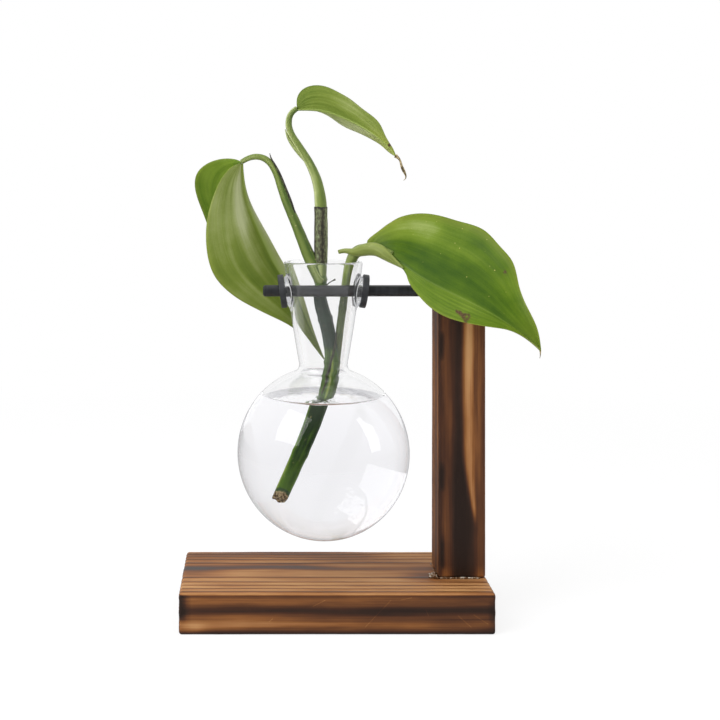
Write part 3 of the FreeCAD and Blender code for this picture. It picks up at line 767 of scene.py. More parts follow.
def glass_line(inset):
    """Half outline of the glass from the bulb's foot up to the block round a hole, as radius and height."""
    centre = shoulder_centre()
    bulb_radius = BULB_RADIUS - inset
    arc = SHOULDER + inset
    touch_bulb = BULB_CENTRE + unit(centre - BULB_CENTRE) * bulb_radius
    touch_neck = NECK_CENTRE + unit(centre - NECK_CENTRE) * (NECK_ARC - inset)
    high_angle = math.atan2(*(touch_bulb - BULB_CENTRE)[::-1])
    angles = np.linspace(-math.pi / 2, high_angle, 84)[1:]
    bulb = BULB_CENTRE + bulb_radius * np.stack([np.cos(angles), np.sin(angles)], axis=1)
    from_angle = math.atan2(*(touch_bulb - centre)[::-1]) % TURN
    to_angle = math.atan2(*(touch_neck - centre)[::-1]) % TURN
    angles = np.linspace(from_angle, to_angle, 10)[1:-1]
    shoulder = centre + arc * np.stack([np.cos(angles), np.sin(angles)], axis=1)
    heights = np.linspace(touch_neck[1], ROD_HEIGHT - HOLE_BLOCK, 22)[:-1]
    neck = np.stack([neck_radius(heights, inset), heights], axis=1)
    return np.concatenate([bulb, shoulder, neck])


def turned(line):
    """Rings round the glass's axis, one for each radius and height of a line."""
    angles = turns(GLASS_SIDES)
    return np.stack([GLASS_X + line[:, :1] * np.cos(angles), line[:, :1] * np.sin(angles),
                     line[:, 1:] * np.ones(GLASS_SIDES)], axis=2)


def wall_place(side, across, up, inset):
    """A place on the neck's wall, by its distance from the hole's centre round the neck and up."""
    height = ROD_HEIGHT + up
    radius = neck_radius(height, inset)
    angle = across / neck_radius(ROD_HEIGHT)
    return np.stack([GLASS_X + side * radius * np.cos(angle), radius * np.sin(angle), height], axis=-1)


def lip_place(side, across, up):
    """A place on the flat face of a hole's raised lip."""
    lean = math.atan(neck_radius(ROD_HEIGHT + 0.5) - neck_radius(ROD_HEIGHT - 0.5))
    start = np.array((GLASS_X + side * neck_radius(ROD_HEIGHT), 0, ROD_HEIGHT))
    out = np.array((side * math.cos(lean), 0, -math.sin(lean)))
    upward = np.array((side * math.sin(lean), 0, math.cos(lean)))
    return start + out * LIP_RISE + np.outer(across, (0, 1, 0)) + np.outer(up, upward)


def hole_rings(side, loop_across, loop_up, inset):
    """Rings from the square edge of a hole's block to the hole: over the lip outside, and plain inside."""
    angle = np.arctan2(loop_up, loop_across)
    cosine, sine = np.cos(angle), np.sin(angle)
    unevenness = wander(np.stack([cosine, sine, angle * 0], axis=1), (0.55, 0.55, 1), side * 3.3)
    drip = near(angle + math.pi / 2, DRIP_WIDTH)
    foot = LIP_FOOT + LIP_UNEVENNESS * unevenness + LIP_DRIP * drip
    last = PLAIN_FOOT if inset else foot
    rings = []
    for share in (0.25, 0.5, 0.75, 1.0):
        across = loop_across * (1 - share) + last * cosine * share
        up = loop_up * (1 - share) + last * sine * share
        rings.append(wall_place(side, across, up, inset))
    if inset:
        for radius, thinner in PLAIN_PROFILE:
            drop = -HOLE_DROP * step_up(-radius, -4.5, -3.3)
            rings.append(wall_place(side, radius * cosine, radius * sine + drop, inset - thinner))
        return rings
    for radius, lift in LIP_PROFILE:
        reach = radius + (foot - LIP_FOOT) * step_up(radius, 6.2, 7.4)
        drop = -HOLE_DROP * step_up(-radius, -5.0, -3.4)
        across, up = reach * cosine, reach * sine + drop
        wall = wall_place(side, across, up, 0.0)
        rings.append(wall * (1 - lift) + lip_place(side, across, up) * lift)
    return rings


def make_glass():
    """Blown bulb and neck in one wall, with a fire-polished rim and a raised lip round each hole."""
    block = np.linspace(ROD_HEIGHT - HOLE_BLOCK, ROD_HEIGHT + HOLE_BLOCK, HOLE_ROWS + 1)
    above = np.linspace(block[-1], RIM_HEIGHT - WALL / 2, 9)[1:]
    outer, inner = glass_line(0.0), glass_line(WALL)
    heights = np.concatenate([block, above])
    outer = np.concatenate([outer, np.stack([neck_radius(heights), heights], axis=1)])
    inner = np.concatenate([inner, np.stack([neck_radius(heights, WALL), heights], axis=1)])
    turn = np.linspace(0, math.pi, 9)[1:-1]
    middle = (outer[-1] + inner[-1]) / 2
    bead = middle + WALL / 2 * BEAD_SWELL * np.stack([np.cos(turn), np.sin(turn) / BEAD_SWELL], axis=1)
    line = np.concatenate([outer, bead, inner[::-1]])
    rows, sides = len(line), GLASS_SIDES
    first_outer = len(outer) - len(heights)
    first_inner = rows - 1 - (len(inner) - len(heights)) - HOLE_ROWS
    opened = set()
    for first in (first_outer, first_inner):
        for row in range(first, first + HOLE_ROWS):
            for middle_column in (0, sides // 2):
                for column in range(-HOLE_COLUMNS, HOLE_COLUMNS):
                    opened.add(row * sides + (middle_column + column) % sides)
    faces = [face for place, face in enumerate(quads(rows, sides)) if place not in opened]
    points = list(turned(line).reshape(-1, 3))
    for side, middle_column in ((1, 0), (-1, sides // 2)):
        ends = []
        for first, inset in ((first_outer, 0.0), (first_inner, WALL)):
            box = [(0, c) for c in range(-HOLE_COLUMNS, HOLE_COLUMNS)]
            box += [(r, HOLE_COLUMNS) for r in range(HOLE_ROWS)]
            box += [(HOLE_ROWS, -c) for c in range(-HOLE_COLUMNS, HOLE_COLUMNS)]
            box += [(HOLE_ROWS - r, -HOLE_COLUMNS) for r in range(HOLE_ROWS)]
            loop = [(first + row) * sides + (middle_column + column) % sides for row, column in box]
            places = np.array([points[i] for i in loop])
            across = np.arctan2(places[:, 1], side * (places[:, 0] - GLASS_X)) * neck_radius(ROD_HEIGHT)
            up = places[:, 2] - ROD_HEIGHT
            before = loop
            for ring in hole_rings(side, across, up, inset):
                start = len(points)
                points += list(ring)
                now = list(range(start, start + len(loop)))
                for i in range(len(loop)):
                    beside = (i + 1) % len(loop)
                    faces.append((before[i], before[beside], now[beside], now[i]))
                before = now
            ends.append(before)
        outside, inside = ends
        facing = [inside[box.index((HOLE_ROWS - row, column))] for row, column in box]
        for i in range(len(box)):
            beside = (i + 1) % len(box)
            faces.append((outside[i], outside[beside], facing[beside], facing[i]))
    faces += end_fans(rows, sides, len(points))
    points += [(GLASS_X, 0, BULB_HEIGHT - BULB_RADIUS), (GLASS_X, 0, BULB_HEIGHT - BULB_RADIUS + WALL)]
    places = np.array(points)
    from_centre = np.linalg.norm(places - (GLASS_X, 0, BULB_HEIGHT), axis=1)
    wetted = (from_centre < BULB_RADIUS - 0.75 * WALL) & (places[:, 2] < WATER_LEVEL + WATER_RISE)
    mesh = face_out(make_mesh("vase_glass", points, faces, wetted=wetted))
    piece("vase_glass", mesh, "vase", "glass", blown_glass(), "vase")


def make_water():
    """Water up to the bulb's shoulder: it wets the glass and the stem, and its surface is rippled."""
    radius = BULB_RADIUS - WALL + WATER_OVERLAP
    contact = WATER_LEVEL + WATER_RISE
    edge = math.sqrt(radius ** 2 - (contact - BULB_HEIGHT) ** 2)
    high_angle = math.asin((contact - BULB_HEIGHT) / radius)
    angles = np.append(np.linspace(-math.pi / 2, high_angle - EDGE_GAP, 90)[1:], high_angle)
    bowl = BULB_CENTRE + radius * np.stack([np.cos(angles), np.sin(angles)], axis=1)
    shares = 1 - np.append(EDGE_GAP, np.linspace(0, 1, 90)[1:-1] ** 1.35)
    sides = GLASS_SIDES
    rounds = np.stack([np.cos(turns(sides)), np.sin(turns(sides))], axis=1)
    rows = list(turned(bowl))
    for share in shares:
        flat = np.concatenate([edge * share * rounds, np.zeros((sides, 1))], axis=1)
        flat[:, 0] += GLASS_X
        from_edge = edge * (1 - share)
        from_stem = np.linalg.norm(flat[:, :2] - STEM_AT_SURFACE, axis=1)
        calm = step_up(from_edge, 0.3, 4.0)
        ripple = sum(height * wander(flat, size, shift) for height, size, shift in RIPPLES)
        flat[:, 2] = WATER_LEVEL + WATER_RISE * math.exp(-from_edge / MENISCUS) + ripple * calm
        flat[:, 2] += STEM_CLIMB * np.exp(-np.maximum(from_stem - STEM_REACH, 0) / CLIMB_WIDTH)
        rows.append(flat)
    points = np.concatenate(rows)
    faces = quads(len(rows), sides) + end_fans(len(rows), sides, len(points))
    points = np.concatenate([points, [(GLASS_X, 0, BULB_HEIGHT - radius), rows[-1].mean(0)]])
    wetted = np.linalg.norm(points - (GLASS_X, 0, BULB_HEIGHT), axis=1) > radius - 0.01
    mesh = face_out(make_mesh("water", points, faces, wetted=wetted))
    piece("water", mesh, "vase", "glass", still_water())


# The cutting: stem, stalks and sheaths

CUT_ROWS = 8
CUT_SLANT = 0.75
CUT_RAGGEDNESS = 0.9


def side_tone(sides, degrees, width):
    """1 on the side of a tube that lies some degrees to the right of the front, falling off round it."""
    angles = turns(sides) - math.radians(degrees)
    return near((angles + math.pi) % TURN - math.pi, math.radians(width))[None]


def bark_mesh(name, rings, **layers):
    """Closed tube for living skin. Layers left out are zero, and three more hold the place on it."""
    none = 0 * rings[:, :, 0]
    centres = rings.mean(1)
    girth = np.linalg.norm(rings - centres[:, None], axis=2).mean()
    angles = turns(rings.shape[1])[None]
    full = {"side": none + girth * np.cos(angles), "back": none + girth * np.sin(angles),
            "run": none + lengths_along(centres)[:, None]}
    for key in ("flank", "grey", "brown", "wet"):
        full[key] = none + layers.get(key, 0)
    return tube_mesh(name, rings, **full)


def skinned(name, rings, slot, skin, *replaced, **layers):
    """Shows a tube of the cutting, which rides with the glass, in its skin."""
    piece(name, bark_mesh(name, rings, **layers), "vase", slot, skin, *replaced)


def grown(places, radii, knots=(), sides=36, ridges=7, depth=0.03, flatness=1.0, step=0.55):
    """Rings of a living stalk: a smooth line, a changing radius, ridges along it and swollen knots."""
    count = max(12, int(lengths_along(np.array(places, float))[-1] / step))
    line = smooth_line(places, count)
    share = np.linspace(0, 1, count)
    size = through(np.linspace(0, 1, len(radii)), radii, share)
    for at, height in knots:
        size = size * (1 + height * near((share - at) * count * step, 1.1))
    angles = turns(sides)
    section = flatness / np.sqrt((flatness * np.sin(angles)) ** 2 + np.cos(angles) ** 2)
    section = section * (1 + depth * np.cos(ridges * angles))
    rings = sweep(line, size[:, None] * section[None], sides)
    lumps = wander(rings.reshape(-1, 3), (2.5, 2.5, 6.0), 0.9).reshape(count, sides, 1)
    return rings + (rings - line[:, None]) * 0.05 * lumps


def height_tone(rings, low, high):
    """0 for the points of a tube below a height and 1 above another, smooth between."""
    return step_up(rings[:, :, 2], low, high)


STEM_LINE = ((-18.7, 3.6, 58.3), (-14.9, 3.5, 67.0), (-11.2, 3.2, 75.7), (-7.2, 2.8, 86.5),
             (-3.7, 2.4, 97.9), (-1.2, 2.0, 107.4), (-0.2, 2.1, 115.4), (-1.4, 4.1, 126.8),
             (-3.7, 5.6, 137.1), (-5.8, 6.55, 146.6), (-5.3, 6.55, 152.4), (-5.3, 6.55, 155.6))
LEFT_STALK_LINE = ((-4.7, 6.7, 152.4), (-9.8, 7.5, 162.7), (-17.8, 9, 182.0), (-22.5, 10.5, 193.3),
                   (-25.8, 12, 202.8), (-31.5, 13, 210.9), (-37.2, 14, 211.9), (-42.9, 15, 209.5))
TOP_STALK_LINE = ((-5.3, 6.7, 151.4), (-5.3, 7, 159.4), (-5.2, 7, 172.6), (-5.3, 7, 189.1),
                  (-6.5, 7, 198.1), (-11.0, 7, 209.4), (-16.9, 7, 218.8), (-20.2, 7, 225.4),
                  (-19.0, 6.5, 232.5), (-16.5, 6, 234.6))
RIGHT_STALK_LINE = ((1.8, 3.5, 114.2), (3.7, 4.2, 130.5), (5.6, 5, 144.5), (7.0, 5.2, 154.8), (8.9, 5, 162.8),
                    (11.1, 3.5, 166.9), (15.1, 0, 168.4), (20.8, -4, 168.3), (26.5, -8, 166.2))


def make_stem():
    """Main stem: cut off below, darkened in the neck by painted shade, bright green above the water, thick at
    its nodes.
    """
    rings = grown(STEM_LINE, (2.45, 2.6, 2.75, 2.95, 3.2, 3.6, 3.8, 3.3, 3.3, 3.3, 3.0, 2.7),
                  knots=((0.16, 0.07), (0.46, 0.05), (0.60, 0.14), (0.80, 0.10)), sides=48, ridges=9)
    ragged = wander(rings[0], (1.4, 1.4, 1.4), 5.0)
    way = unit(rings[0].mean(0) - rings[2].mean(0))
    for row in range(CUT_ROWS):
        slant = CUT_SLANT * (1 - row / CUT_ROWS)
        rings[row] += way * (slant * (rings[row, :, 1] - rings[row, :, 1].mean()))[:, None]
    rings[0] += way * (CUT_RAGGEDNESS * ragged + 0.2 * np.cos(3 * turns(48)))[:, None]
    submerged = 1 - height_tone(rings, 96.0, 101.0)
    neck = height_tone(rings, 119.0, 124.0)
    # Painted light: under water the stem's left side is painted paler, and it is darker higher up; above the
    # water a narrow pale line down its front is a painted highlight.
    wet_painted_light = (0.34 * side_tone(48, -82, 22) + 0.10 * side_tone(48, 60, 50)
                 - (0.08 + 0.20 * height_tone(rings, 62, 82)))
    dry_painted_highlight = -0.06 + 0.40 * side_tone(48, -4, 7) + 0.06 * side_tone(48, 35, 25)
    flank = wet_painted_light * submerged + dry_painted_highlight * (1 - submerged) * (1 - neck)
    # Painted shade: inside the glass neck, up to just below the rod, the stem is turned dark grey-green.
    grey = 0.94 * neck * (1 - height_tone(rings, 147.5, 150.0))
    brown = np.zeros(rings.shape[:2])
    brown[:1] = 0.95
    grey[1:4] = 0.7
    skin = green_bark("stem_bark", "203414", "50701f", "a3b058", 0.36)
    skinned("stem_bark", rings, "stem", skin, "cutting_stem",
            flank=flank, grey=grey, brown=brown, wet=submerged)


def make_left_stalk(skin):
    """Left stalk: arches over to the hanging leaf, with its sheath's dry strip and tip along its top."""
    rings = grown(LEFT_STALK_LINE, (3.0, 3.0, 2.6, 2.3, 2.0, 1.65, 1.5, 1.15), knots=((0.02, 0.10),))
    # Painted light: the stalk's front-left and right sides are painted paler.
    flank = 0.16 * side_tone(36, -20, 26) + 0.14 * side_tone(36, 95, 20) * (1 - height_tone(rings, 170, 190))
    flank = flank + 0.14 * height_tone(rings, 200, 211)
    skinned("left_stalk_skin", rings, "stalk", skin, "stalk_left", flank=flank - 0.12)


def make_top_stalk(skin):
    """Top leaf's stalk: rises straight out of the sleeve and bends to the small leaf."""
    rings = grown(TOP_STALK_LINE, (2.7, 2.8, 2.95, 2.9, 2.75, 2.35, 1.95, 1.65, 1.55, 1.2))
    # Painted light and shade: a pale highlight strip down the stalk's left side, and a darker right side.
    pale = side_tone(36, -62, 26)
    flank = 0.12 + 0.34 * pale - 0.12 * side_tone(36, 40, 30) - 0.12 * height_tone(rings, 222, 232)
    skinned("top_stalk_skin", rings, "stalk", skin, "stalk_top", flank=flank)


def make_right_stalk(skin):
    """Right stalk: rises behind the rod and bends out over the rim to the large leaf."""
    rings = grown(RIGHT_STALK_LINE, (1.9, 1.95, 1.95, 1.95, 2.0, 2.3, 2.7, 2.6, 2.0), knots=((0.36, 0.06),))
    # Painted light: the stalk's right side is painted paler.
    flank = 0.06 + 0.14 * side_tone(36, 70, 30)
    # Painted shade: inside the glass neck, below the rod, the stalk is turned dark grey-green.
    grey = 0.58 * (1 - height_tone(rings, 144, 149))
    skinned("right_stalk_skin", rings, "stalk", skin, "stalk_right", flank=flank, grey=grey)


def make_small_parts():
    """The cutting's small things: a spur, a pale rim, a dry fibre, a free sheath edge and dry leaf ends."""
    dry = dry_sheath_skin()
    pale = green_bark("pale_rim", "8a9a55", "a5af74", "cfd4a8", 0.5)
    spur = ((-2.6, 5.2, 151.6), (-1.0, 4.2, 153.0), (0.6, 3.9, 153.9), (1.4, 3.8, 154.3))
    rim = ((-8.6, 3.9, 161.2), (-7.2, 3.7, 158.0), (-5.8, 3.6, 155.6), (-4.0, 3.6, 154.0))
    fibre = ((1.9, 1.2, 129.7), (0.2, -0.7, 121.0), (-1.8, -1.7, 113.5), (-3.2, -1.6, 107.5),
             (-5.4, -0.6, 101.0))
    edge = ((-22.1, 7.0, 224.8), (-21.0, 7.2, 221.4), (-18.6, 7.6, 217.4), (-15.4, 7.8, 213.4),
            (-12.6, 7.8, 209.5))
    point = ((88.4, -38.0, 126.4), (88.4, -38.2, 124.6), (88.1, -38.4, 122.8))
    tip = ((28.9, -1.6, 212.2), (30.8, -1.8, 210.4), (31.9, -1.6, 207.2), (33.4, -1.2, 204.0),
           (33.8, -1.0, 201.8), (32.8, -1.0, 200.6))
    for name, line, radii, slot, skin, dead in (
            ("dry_spur", spur, (0.30, 0.26, 0.26, 0.48), "dry_sheath", dry, 0),
            ("pale_joint_rim", rim, (0.15, 0.24, 0.24, 0.15), "stalk", pale, 0),
            ("dry_fibre", fibre, (0.25, 0.5, 0.6, 0.55, 0.3), "dry_sheath", dry, 0),
            ("free_sheath_edge", edge, (0.15, 0.6, 0.9, 1.0, 0.4), "stalk", pale, 0),
            ("dry_leaf_tip", tip, (0.95, 0.5, 0.55, 0.7, 0.4, 0.1), "dry_sheath", pale, 0.9),
            ("dry_leaf_point", point, (0.40, 0.22, 0.08), "dry_sheath", pale, 0.9)):
        rings = grown(line, radii, sides=14, ridges=3, depth=0.1, step=0.3)
        skinned(name, rings, slot, skin, flank=-0.05, brown=dead)


def make_sheaths():
    """Sheaths: a dry strip with a sharp tip, a mottled sleeve, and a pale green band over the rim."""
    dry = dry_sheath_skin()
    strip = ((-17.0, 7.9, 185.2), (-18.9, 8.8, 190.7), (-21.4, 9.9, 197.2), (-24.2, 11.0, 203.8),
             (-26.6, 11.5, 208.3), (-28.0, 11.6, 210.8), (-28.9, 11.5, 213.6))
    rings = grown(strip, (0.40, 0.62, 0.55, 0.55, 0.6, 0.5, 0.12), sides=20, ridges=3, depth=0.12)
    rings[:, :, 0] -= 0.5
    flank = -0.05 + 0.2 * wander(rings.reshape(-1, 3), (1.5, 1.5, 3.0), 3.0).reshape(rings.shape[:2])
    piece("dry_sheath_strip", tube_mesh("dry_sheath_strip", rings, flank=flank), "vase", "dry_sheath", dry,
          "sheath_left")
    sleeve = [place for place in smooth_line(TOP_STALK_LINE[1:4], 60) if 161.5 < place[2] < 188.2]
    rings = grown(sleeve, (3.0, 3.15, 3.2, 3.15, 3.12), sides=48, ridges=11, depth=0.02)
    ragged = wander(rings[-1], (1.3, 1.3, 1.3), 8.0)
    rings[-1, :, 2] += 0.5 * ragged
    flank = 0.20 * side_tone(48, -35, 30) + 0.30 * side_tone(48, 62, 34) - 0.16 * side_tone(48, 12, 7) - 0.03
    flank = flank - 0.35 * side_tone(48, -80, 12) - 0.3 * height_tone(rings, 187.2, 188.0)
    piece("dry_sheath_sleeve", tube_mesh("dry_sheath_sleeve", rings, flank=flank), "vase", "dry_sheath", dry,
          "sheath_top")
    band = ((2.9, 5.2, 167.0), (5.9, 4.2, 167.6), (9.2, 2.2, 167.2), (14.1, -1.8, 168.3), (20.2, -6, 168.6),
            (24.5, -9.0, 165.7), (28.2, -11.0, 162.9), (31.2, -13.2, 160.6))
    rings = grown(band, (0.95, 1.35, 2.4, 2.9, 3.0, 2.5, 1.4, 0.4), ridges=8, depth=0.025, flatness=0.8)
    skin = green_bark("green_sheath_skin", "566528", "808c44", "adb57c", 0.45)
    # Painted light: the band's right side is painted paler.
    mesh = bark_mesh("green_sheath_skin", rings, flank=0.05 + 0.15 * side_tone(36, 95, 30))
    piece("green_sheath_band", mesh, "vase", "green_sheath", skin, "sheath_right")


# Leaves

LEAF_ROWS = 170
LEAF_COLUMNS = 40
HALF_BLADE = 0.18
RIB_HEIGHT = 0.75
GROOVE_DEPTH = 0.30
VEIN_HEIGHT = 0.05
# How closely a leaf's columns crowd at its midrib, the waves of its edges, and where its far half swells most
CROWDING = 1.4
EDGE_WAVES = 5.5
FAR_PHASE = 1.3
SWELL_SHARE = 0.13
# Rounds of smoothing for the side that looks down, for the arch and for the whole sheet
UNDER_ROUNDS = 6
ARCH_ROUNDS = 40
SHEET_ROUNDS = 150


def leaf_rows(near_edge, midrib, far_edge, bulge, wave, swell):
    """Places on a leaf's middle surface, row by row from its foot to its tip, and how far across each is.

    Each half is arched by bulge and its edge waved. swell pushes the far half out beside the midrib."""
    start, tip = midrib[0], midrib[-1]
    rows = LEAF_ROWS
    rails = []
    for rail in (near_edge, midrib, far_edge):
        places = list(rail)
        if places[0] != start:
            places.insert(0, start)
        if places[-1] != tip:
            places.append(tip)
        rails.append(smooth_line(places, rows + 2)[1:-1])
    near_rail, rib, far_rail = rails
    ways = unit(np.gradient(rib, axis=0))
    under = unit(unit(rib - near_rail) - unit(far_rail - rib))
    under = unit(under - ways * (under * ways).sum(1)[:, None])
    for _ in range(UNDER_ROUNDS):
        under[1:-1] = unit(under[:-2] + 2 * under[1:-1] + under[2:])
    shares = (np.arange(LEAF_COLUMNS + 1) / LEAF_COLUMNS) ** CROWDING
    across = np.concatenate([-shares[::-1], shares[1:]])
    grid = np.zeros((rows, len(across), 3))
    for j, share in enumerate(across):
        span = (far_rail if share > 0 else near_rail) - rib
        width = np.linalg.norm(span, axis=1)[:, None]
        out = unit(np.cross(ways, span)) * (1 if share > 0 else -1)
        out = np.where((out * under).sum(1)[:, None] < 0, -out, out)
        for _ in range(ARCH_ROUNDS):
            out[1:-1] = unit(out[:-2] + 2 * out[1:-1] + out[2:])
        arch = 4 * abs(share) * (1 - abs(share))
        phase = FAR_PHASE if share > 0 else 0
        ripple = wave * abs(share) ** 3 * np.sin(np.linspace(0, EDGE_WAVES * math.pi, rows) + phase)
        grid[:, j] = rib + span * abs(share) + out * (bulge * width * arch + ripple[:, None])
        if share > 0:
            middle = np.sin(np.linspace(0, math.pi, rows)) ** 1.5
            reach = share / SWELL_SHARE
            grid[:, j] += middle[:, None] * np.array(swell) * reach * math.exp(1 - reach)
    inner = (1 - np.abs(across[1:-1]) ** 3)[None, :, None]
    for _ in range(SHEET_ROUNDS):
        even = (grid[:-2, 1:-1] + grid[2:, 1:-1]) / 2
        grid[1:-1, 1:-1] += 0.5 * inner * (even - grid[1:-1, 1:-1])
    return grid, across, under


def sheet_normals(grid):
    """The direction square to a grid of places, at each of them."""
    along = np.gradient(grid, axis=0)
    sideways = np.gradient(grid, axis=1)
    return unit(np.cross(along, sideways))


def two_faces(upper, lower):
    """A leaf's rings: each row runs over its upper face and back under its lower face."""
    return np.concatenate([upper, lower[:, ::-1]], axis=1)


def make_leaf(name, node, skin, rails, bulge, wave, swell, tones):
    """A leaf blade with its two faces: a ridge under the midrib, a groove above it, and faint veins."""
    grid, across, under = leaf_rows(*rails, bulge, wave, swell)
    normals = sheet_normals(grid)
    normals = normals * np.sign((normals * under[:, None]).sum(2).mean())
    share = np.linspace(0, 1, LEAF_ROWS)[:, None] * np.ones((1, len(across)))
    side = np.ones((LEAF_ROWS, 1)) * across[None]
    blade = HALF_BLADE - 0.10 * np.abs(side) ** 4
    fade = 1 - 0.85 * share
    rib = RIB_HEIGHT * near(side, 0.045) * fade
    groove = GROOVE_DEPTH * near(side, 0.03) * fade
    veins = VEIN_HEIGHT * np.sin(np.abs(side) * 46 + 7 * share)
    veins = veins * (1 - near(side, 0.08)) * (1 - step_up(share, 0.6, 0.95))
    lower = grid + normals * (blade + rib + veins)[:, :, None]
    upper = grid - normals * (blade - groove - veins)[:, :, None]
    layers = {"along": two_faces(share, share), "across": two_faces(side, side),
              "upper": two_faces(0 * side + 1, 0 * side)}
    layers.update(tones(two_faces(grid, grid), layers["along"], layers["across"], layers["upper"]))
    piece(name, tube_mesh(name, two_faces(upper, lower), **layers), "vase", "leaf", skin, node)


def leaf_skin():
    """Philodendron leaf: leathery, with lengthwise light and dark stripes and a satin sheen above.

    Its underside is paler and duller. Layers of the mesh hold each leaf's lighter parts, some of them painted
    highlights, olive margins, brown blemishes and pale specks."""
    made, tree = material("philodendron_leaf")
    layer = {key: add(tree, "Attribute", attribute_name=key).outputs["Fac"]
             for key in ("along", "across", "upper", "light", "warm", "brown", "speck")}
    width = add(tree, "Math", {0: layer["across"]}, operation="ABSOLUTE")
    lean = weighted(tree, width, (layer["along"], 0.16))
    place = add(tree, "CombineXYZ", {0: layer["along"], 1: lean, 2: layer["across"]})
    broad = add(tree, "Mapping", {"Vector": place, "Scale": (1.6, 7.5, 1.0)})
    fine = add(tree, "Mapping", {"Vector": place, "Scale": (3.0, 42.0, 4.0)})
    bands = add(tree, "TexNoise", {"Vector": broad, "Scale": 1.0, "Detail": 2.0})
    veins = add(tree, "TexNoise", {"Vector": fine, "Scale": 1.0, "Detail": 2.0, "Roughness": 0.6})
    clouds = mottle(tree, (16.0, 16.0, 16.0), 3.0, 0.55)
    grain = mottle(tree, (0.7, 0.7, 0.7), 2.0, 0.6)
    depth = add(tree, "MapRange", {"Value": layer["along"], "From Min": 0.6, "To Min": 0.20, "To Max": 0.02})
    veins = add(tree, "Math", {0: veins, 1: 0.5}, operation="SUBTRACT")
    tone = add(tree, "Math", {0: layer["light"], 1: 0.23}, operation="ADD")
    tone = weighted(tree, tone, (bands, 0.38), (veins, depth), (clouds, 0.40), (grain, 0.10))
    above = add(tree, "ValToRGB", {"Fac": tone}, stops=(
        (0.40, "35550b"), (0.60, "547110"), (0.80, "718a26"), (1.0, "98a85c")))
    below = add(tree, "ValToRGB", {"Fac": tone}, stops=(
        (0.40, "5c7120"), (0.60, "788936"), (0.80, "97a35e"), (1.0, "b9c08e")))
    green = add(tree, "Mix", {"Factor": layer["upper"], "A": below, "B": above}, data_type="RGBA")
    olive = add(tree, "Mix", {"Factor": layer["warm"], "A": green, "B": colour("8f9a3a")}, data_type="RGBA")
    ridge = add(tree, "MapRange", {"Value": layer["upper"], "To Min": 0.55, "To Max": 0.16})
    rib = add(tree, "MapRange", {"Value": width, "From Min": 0.012, "From Max": 0.03,
                                 "To Min": ridge, "To Max": 0.0})
    ribbed = add(tree, "Mix", {"Factor": rib, "A": olive, "B": colour("9aae5c")}, data_type="RGBA")
    place = add(tree, "TexCoord").outputs["Object"]
    cells = add(tree, "TexVoronoi", {"Vector": place, "Scale": 1 / (4.2 * MM)})
    dots = add(tree, "MapRange", {"Value": cells.outputs["Distance"], "From Min": 0.055, "From Max": 0.075,
                                  "To Min": 0.8, "To Max": 0.0})
    dots = add(tree, "Math", {0: dots, 1: layer["speck"]}, operation="MULTIPLY")
    specked = add(tree, "Mix", {"Factor": dots, "A": ribbed, "B": colour("c4bd6a")}, data_type="RGBA")
    dead = add(tree, "ValToRGB", {"Fac": grain}, stops=((0.3, "3a2a1c"), (0.7, "6f5738")))
    skin = add(tree, "Mix", {"Factor": layer["brown"], "A": specked, "B": dead}, data_type="RGBA")
    gloss = add(tree, "MapRange", {"Value": layer["upper"], "To Min": 0.52, "To Max": 0.40})
    relief = add(tree, "Math", {0: veins, 1: depth}, operation="MULTIPLY")
    bump = add(tree, "Bump", {"Height": relief, "Strength": 0.25, "Distance": 0.9 * MM})
    face = add(tree, "BsdfPrincipled", {"Base Color": skin, "Roughness": gloss, "Normal": bump,
                                        "Specular IOR Level": 0.2})
    glow = add(tree, "BsdfTranslucent", {"Color": skin})
    leaf = add(tree, "MixShader", {0: 0.12, 1: face, 2: glow})
    add(tree, "OutputMaterial", {"Surface": leaf})
    return made


LEFT_MIDRIB = ((-42.9, 15, 209.1), (-42.0, 17, 197.6), (-40.8, 18, 191.6), (-37.2, 19, 181.7),
               (-32.6, 20, 171.6), (-28.1, 20.5, 161.9), (-23.7, 21, 155.1), (-14.6, 20, 137.4),
               (-7.9, 18, 124.1), (-2.8, 16, 114.8))
LEFT_NEAR_EDGE = ((-47.6, 12, 207.1), (-52.3, 9, 201.9), (-55.6, 7, 194.5), (-58.4, 6, 183.7),
                  (-59.3, 6, 172.9), (-58.4, 6.5, 163.2), (-55.6, 7, 155.6), (-50.9, 8, 149.9),
                  (-43.6, 9.5, 144.3), (-37.2, 11, 140.6), (-29.1, 13, 136.2), (-20.0, 15, 131.2),
                  (-2.8, 16, 114.8))
LEFT_FAR_EDGE = ((-44.4, 18, 210.1), (-56.8, 28, 210.2), (-64.8, 33, 203.9), (-65.9, 36, 197.5),
                 (-62.5, 38, 184.6), (-56.1, 38, 168.8), (-47.6, 36, 156.5), (-36.3, 32, 146.1),
                 (-20.7, 25, 133.0), (-2.8, 16, 114.8))
TOP_MIDRIB = ((-16.5, 6, 234.3), (-6.7, 4, 233.8), (1.3, 3, 231.6), (8.2, 2, 228.5), (13.7, 1, 225.6),
              (19.3, 0, 221.9), (24.4, -1, 217.8), (29.4, -2, 211.4))
TOP_UPPER_EDGE = ((-16.4, 7.5, 239.6), (-13.5, 9, 244.0), (-7.3, 10, 245.9), (-3.1, 10, 245.2),
                  (3.0, 9, 242.3), (8.6, 8, 239.2), (15.1, 6, 233.9), (21.9, 3.5, 227.2),
                  (25.0, 1.5, 220.8), (28.1, 0, 215.8))
TOP_LOWER_EDGE = ((-6.5, 8, 233.6), (1.7, 11, 229.0), (10.9, 10, 223.9), (17.9, 6, 220.2), (22.4, 2, 217.6),
                  (26.6, -0.5, 213.2))
RIGHT_MIDRIB = ((19.0, -3, 168.2), (26.0, -8, 166.0), (29.8, -10, 163.3), (37.2, -17, 157.8),
                (46.7, -24, 152.5), (57.0, -29, 147.6), (67.4, -33, 142.2), (77.9, -36, 135.5),
                (84.9, -38, 130.0), (88.8, -38, 125.7))
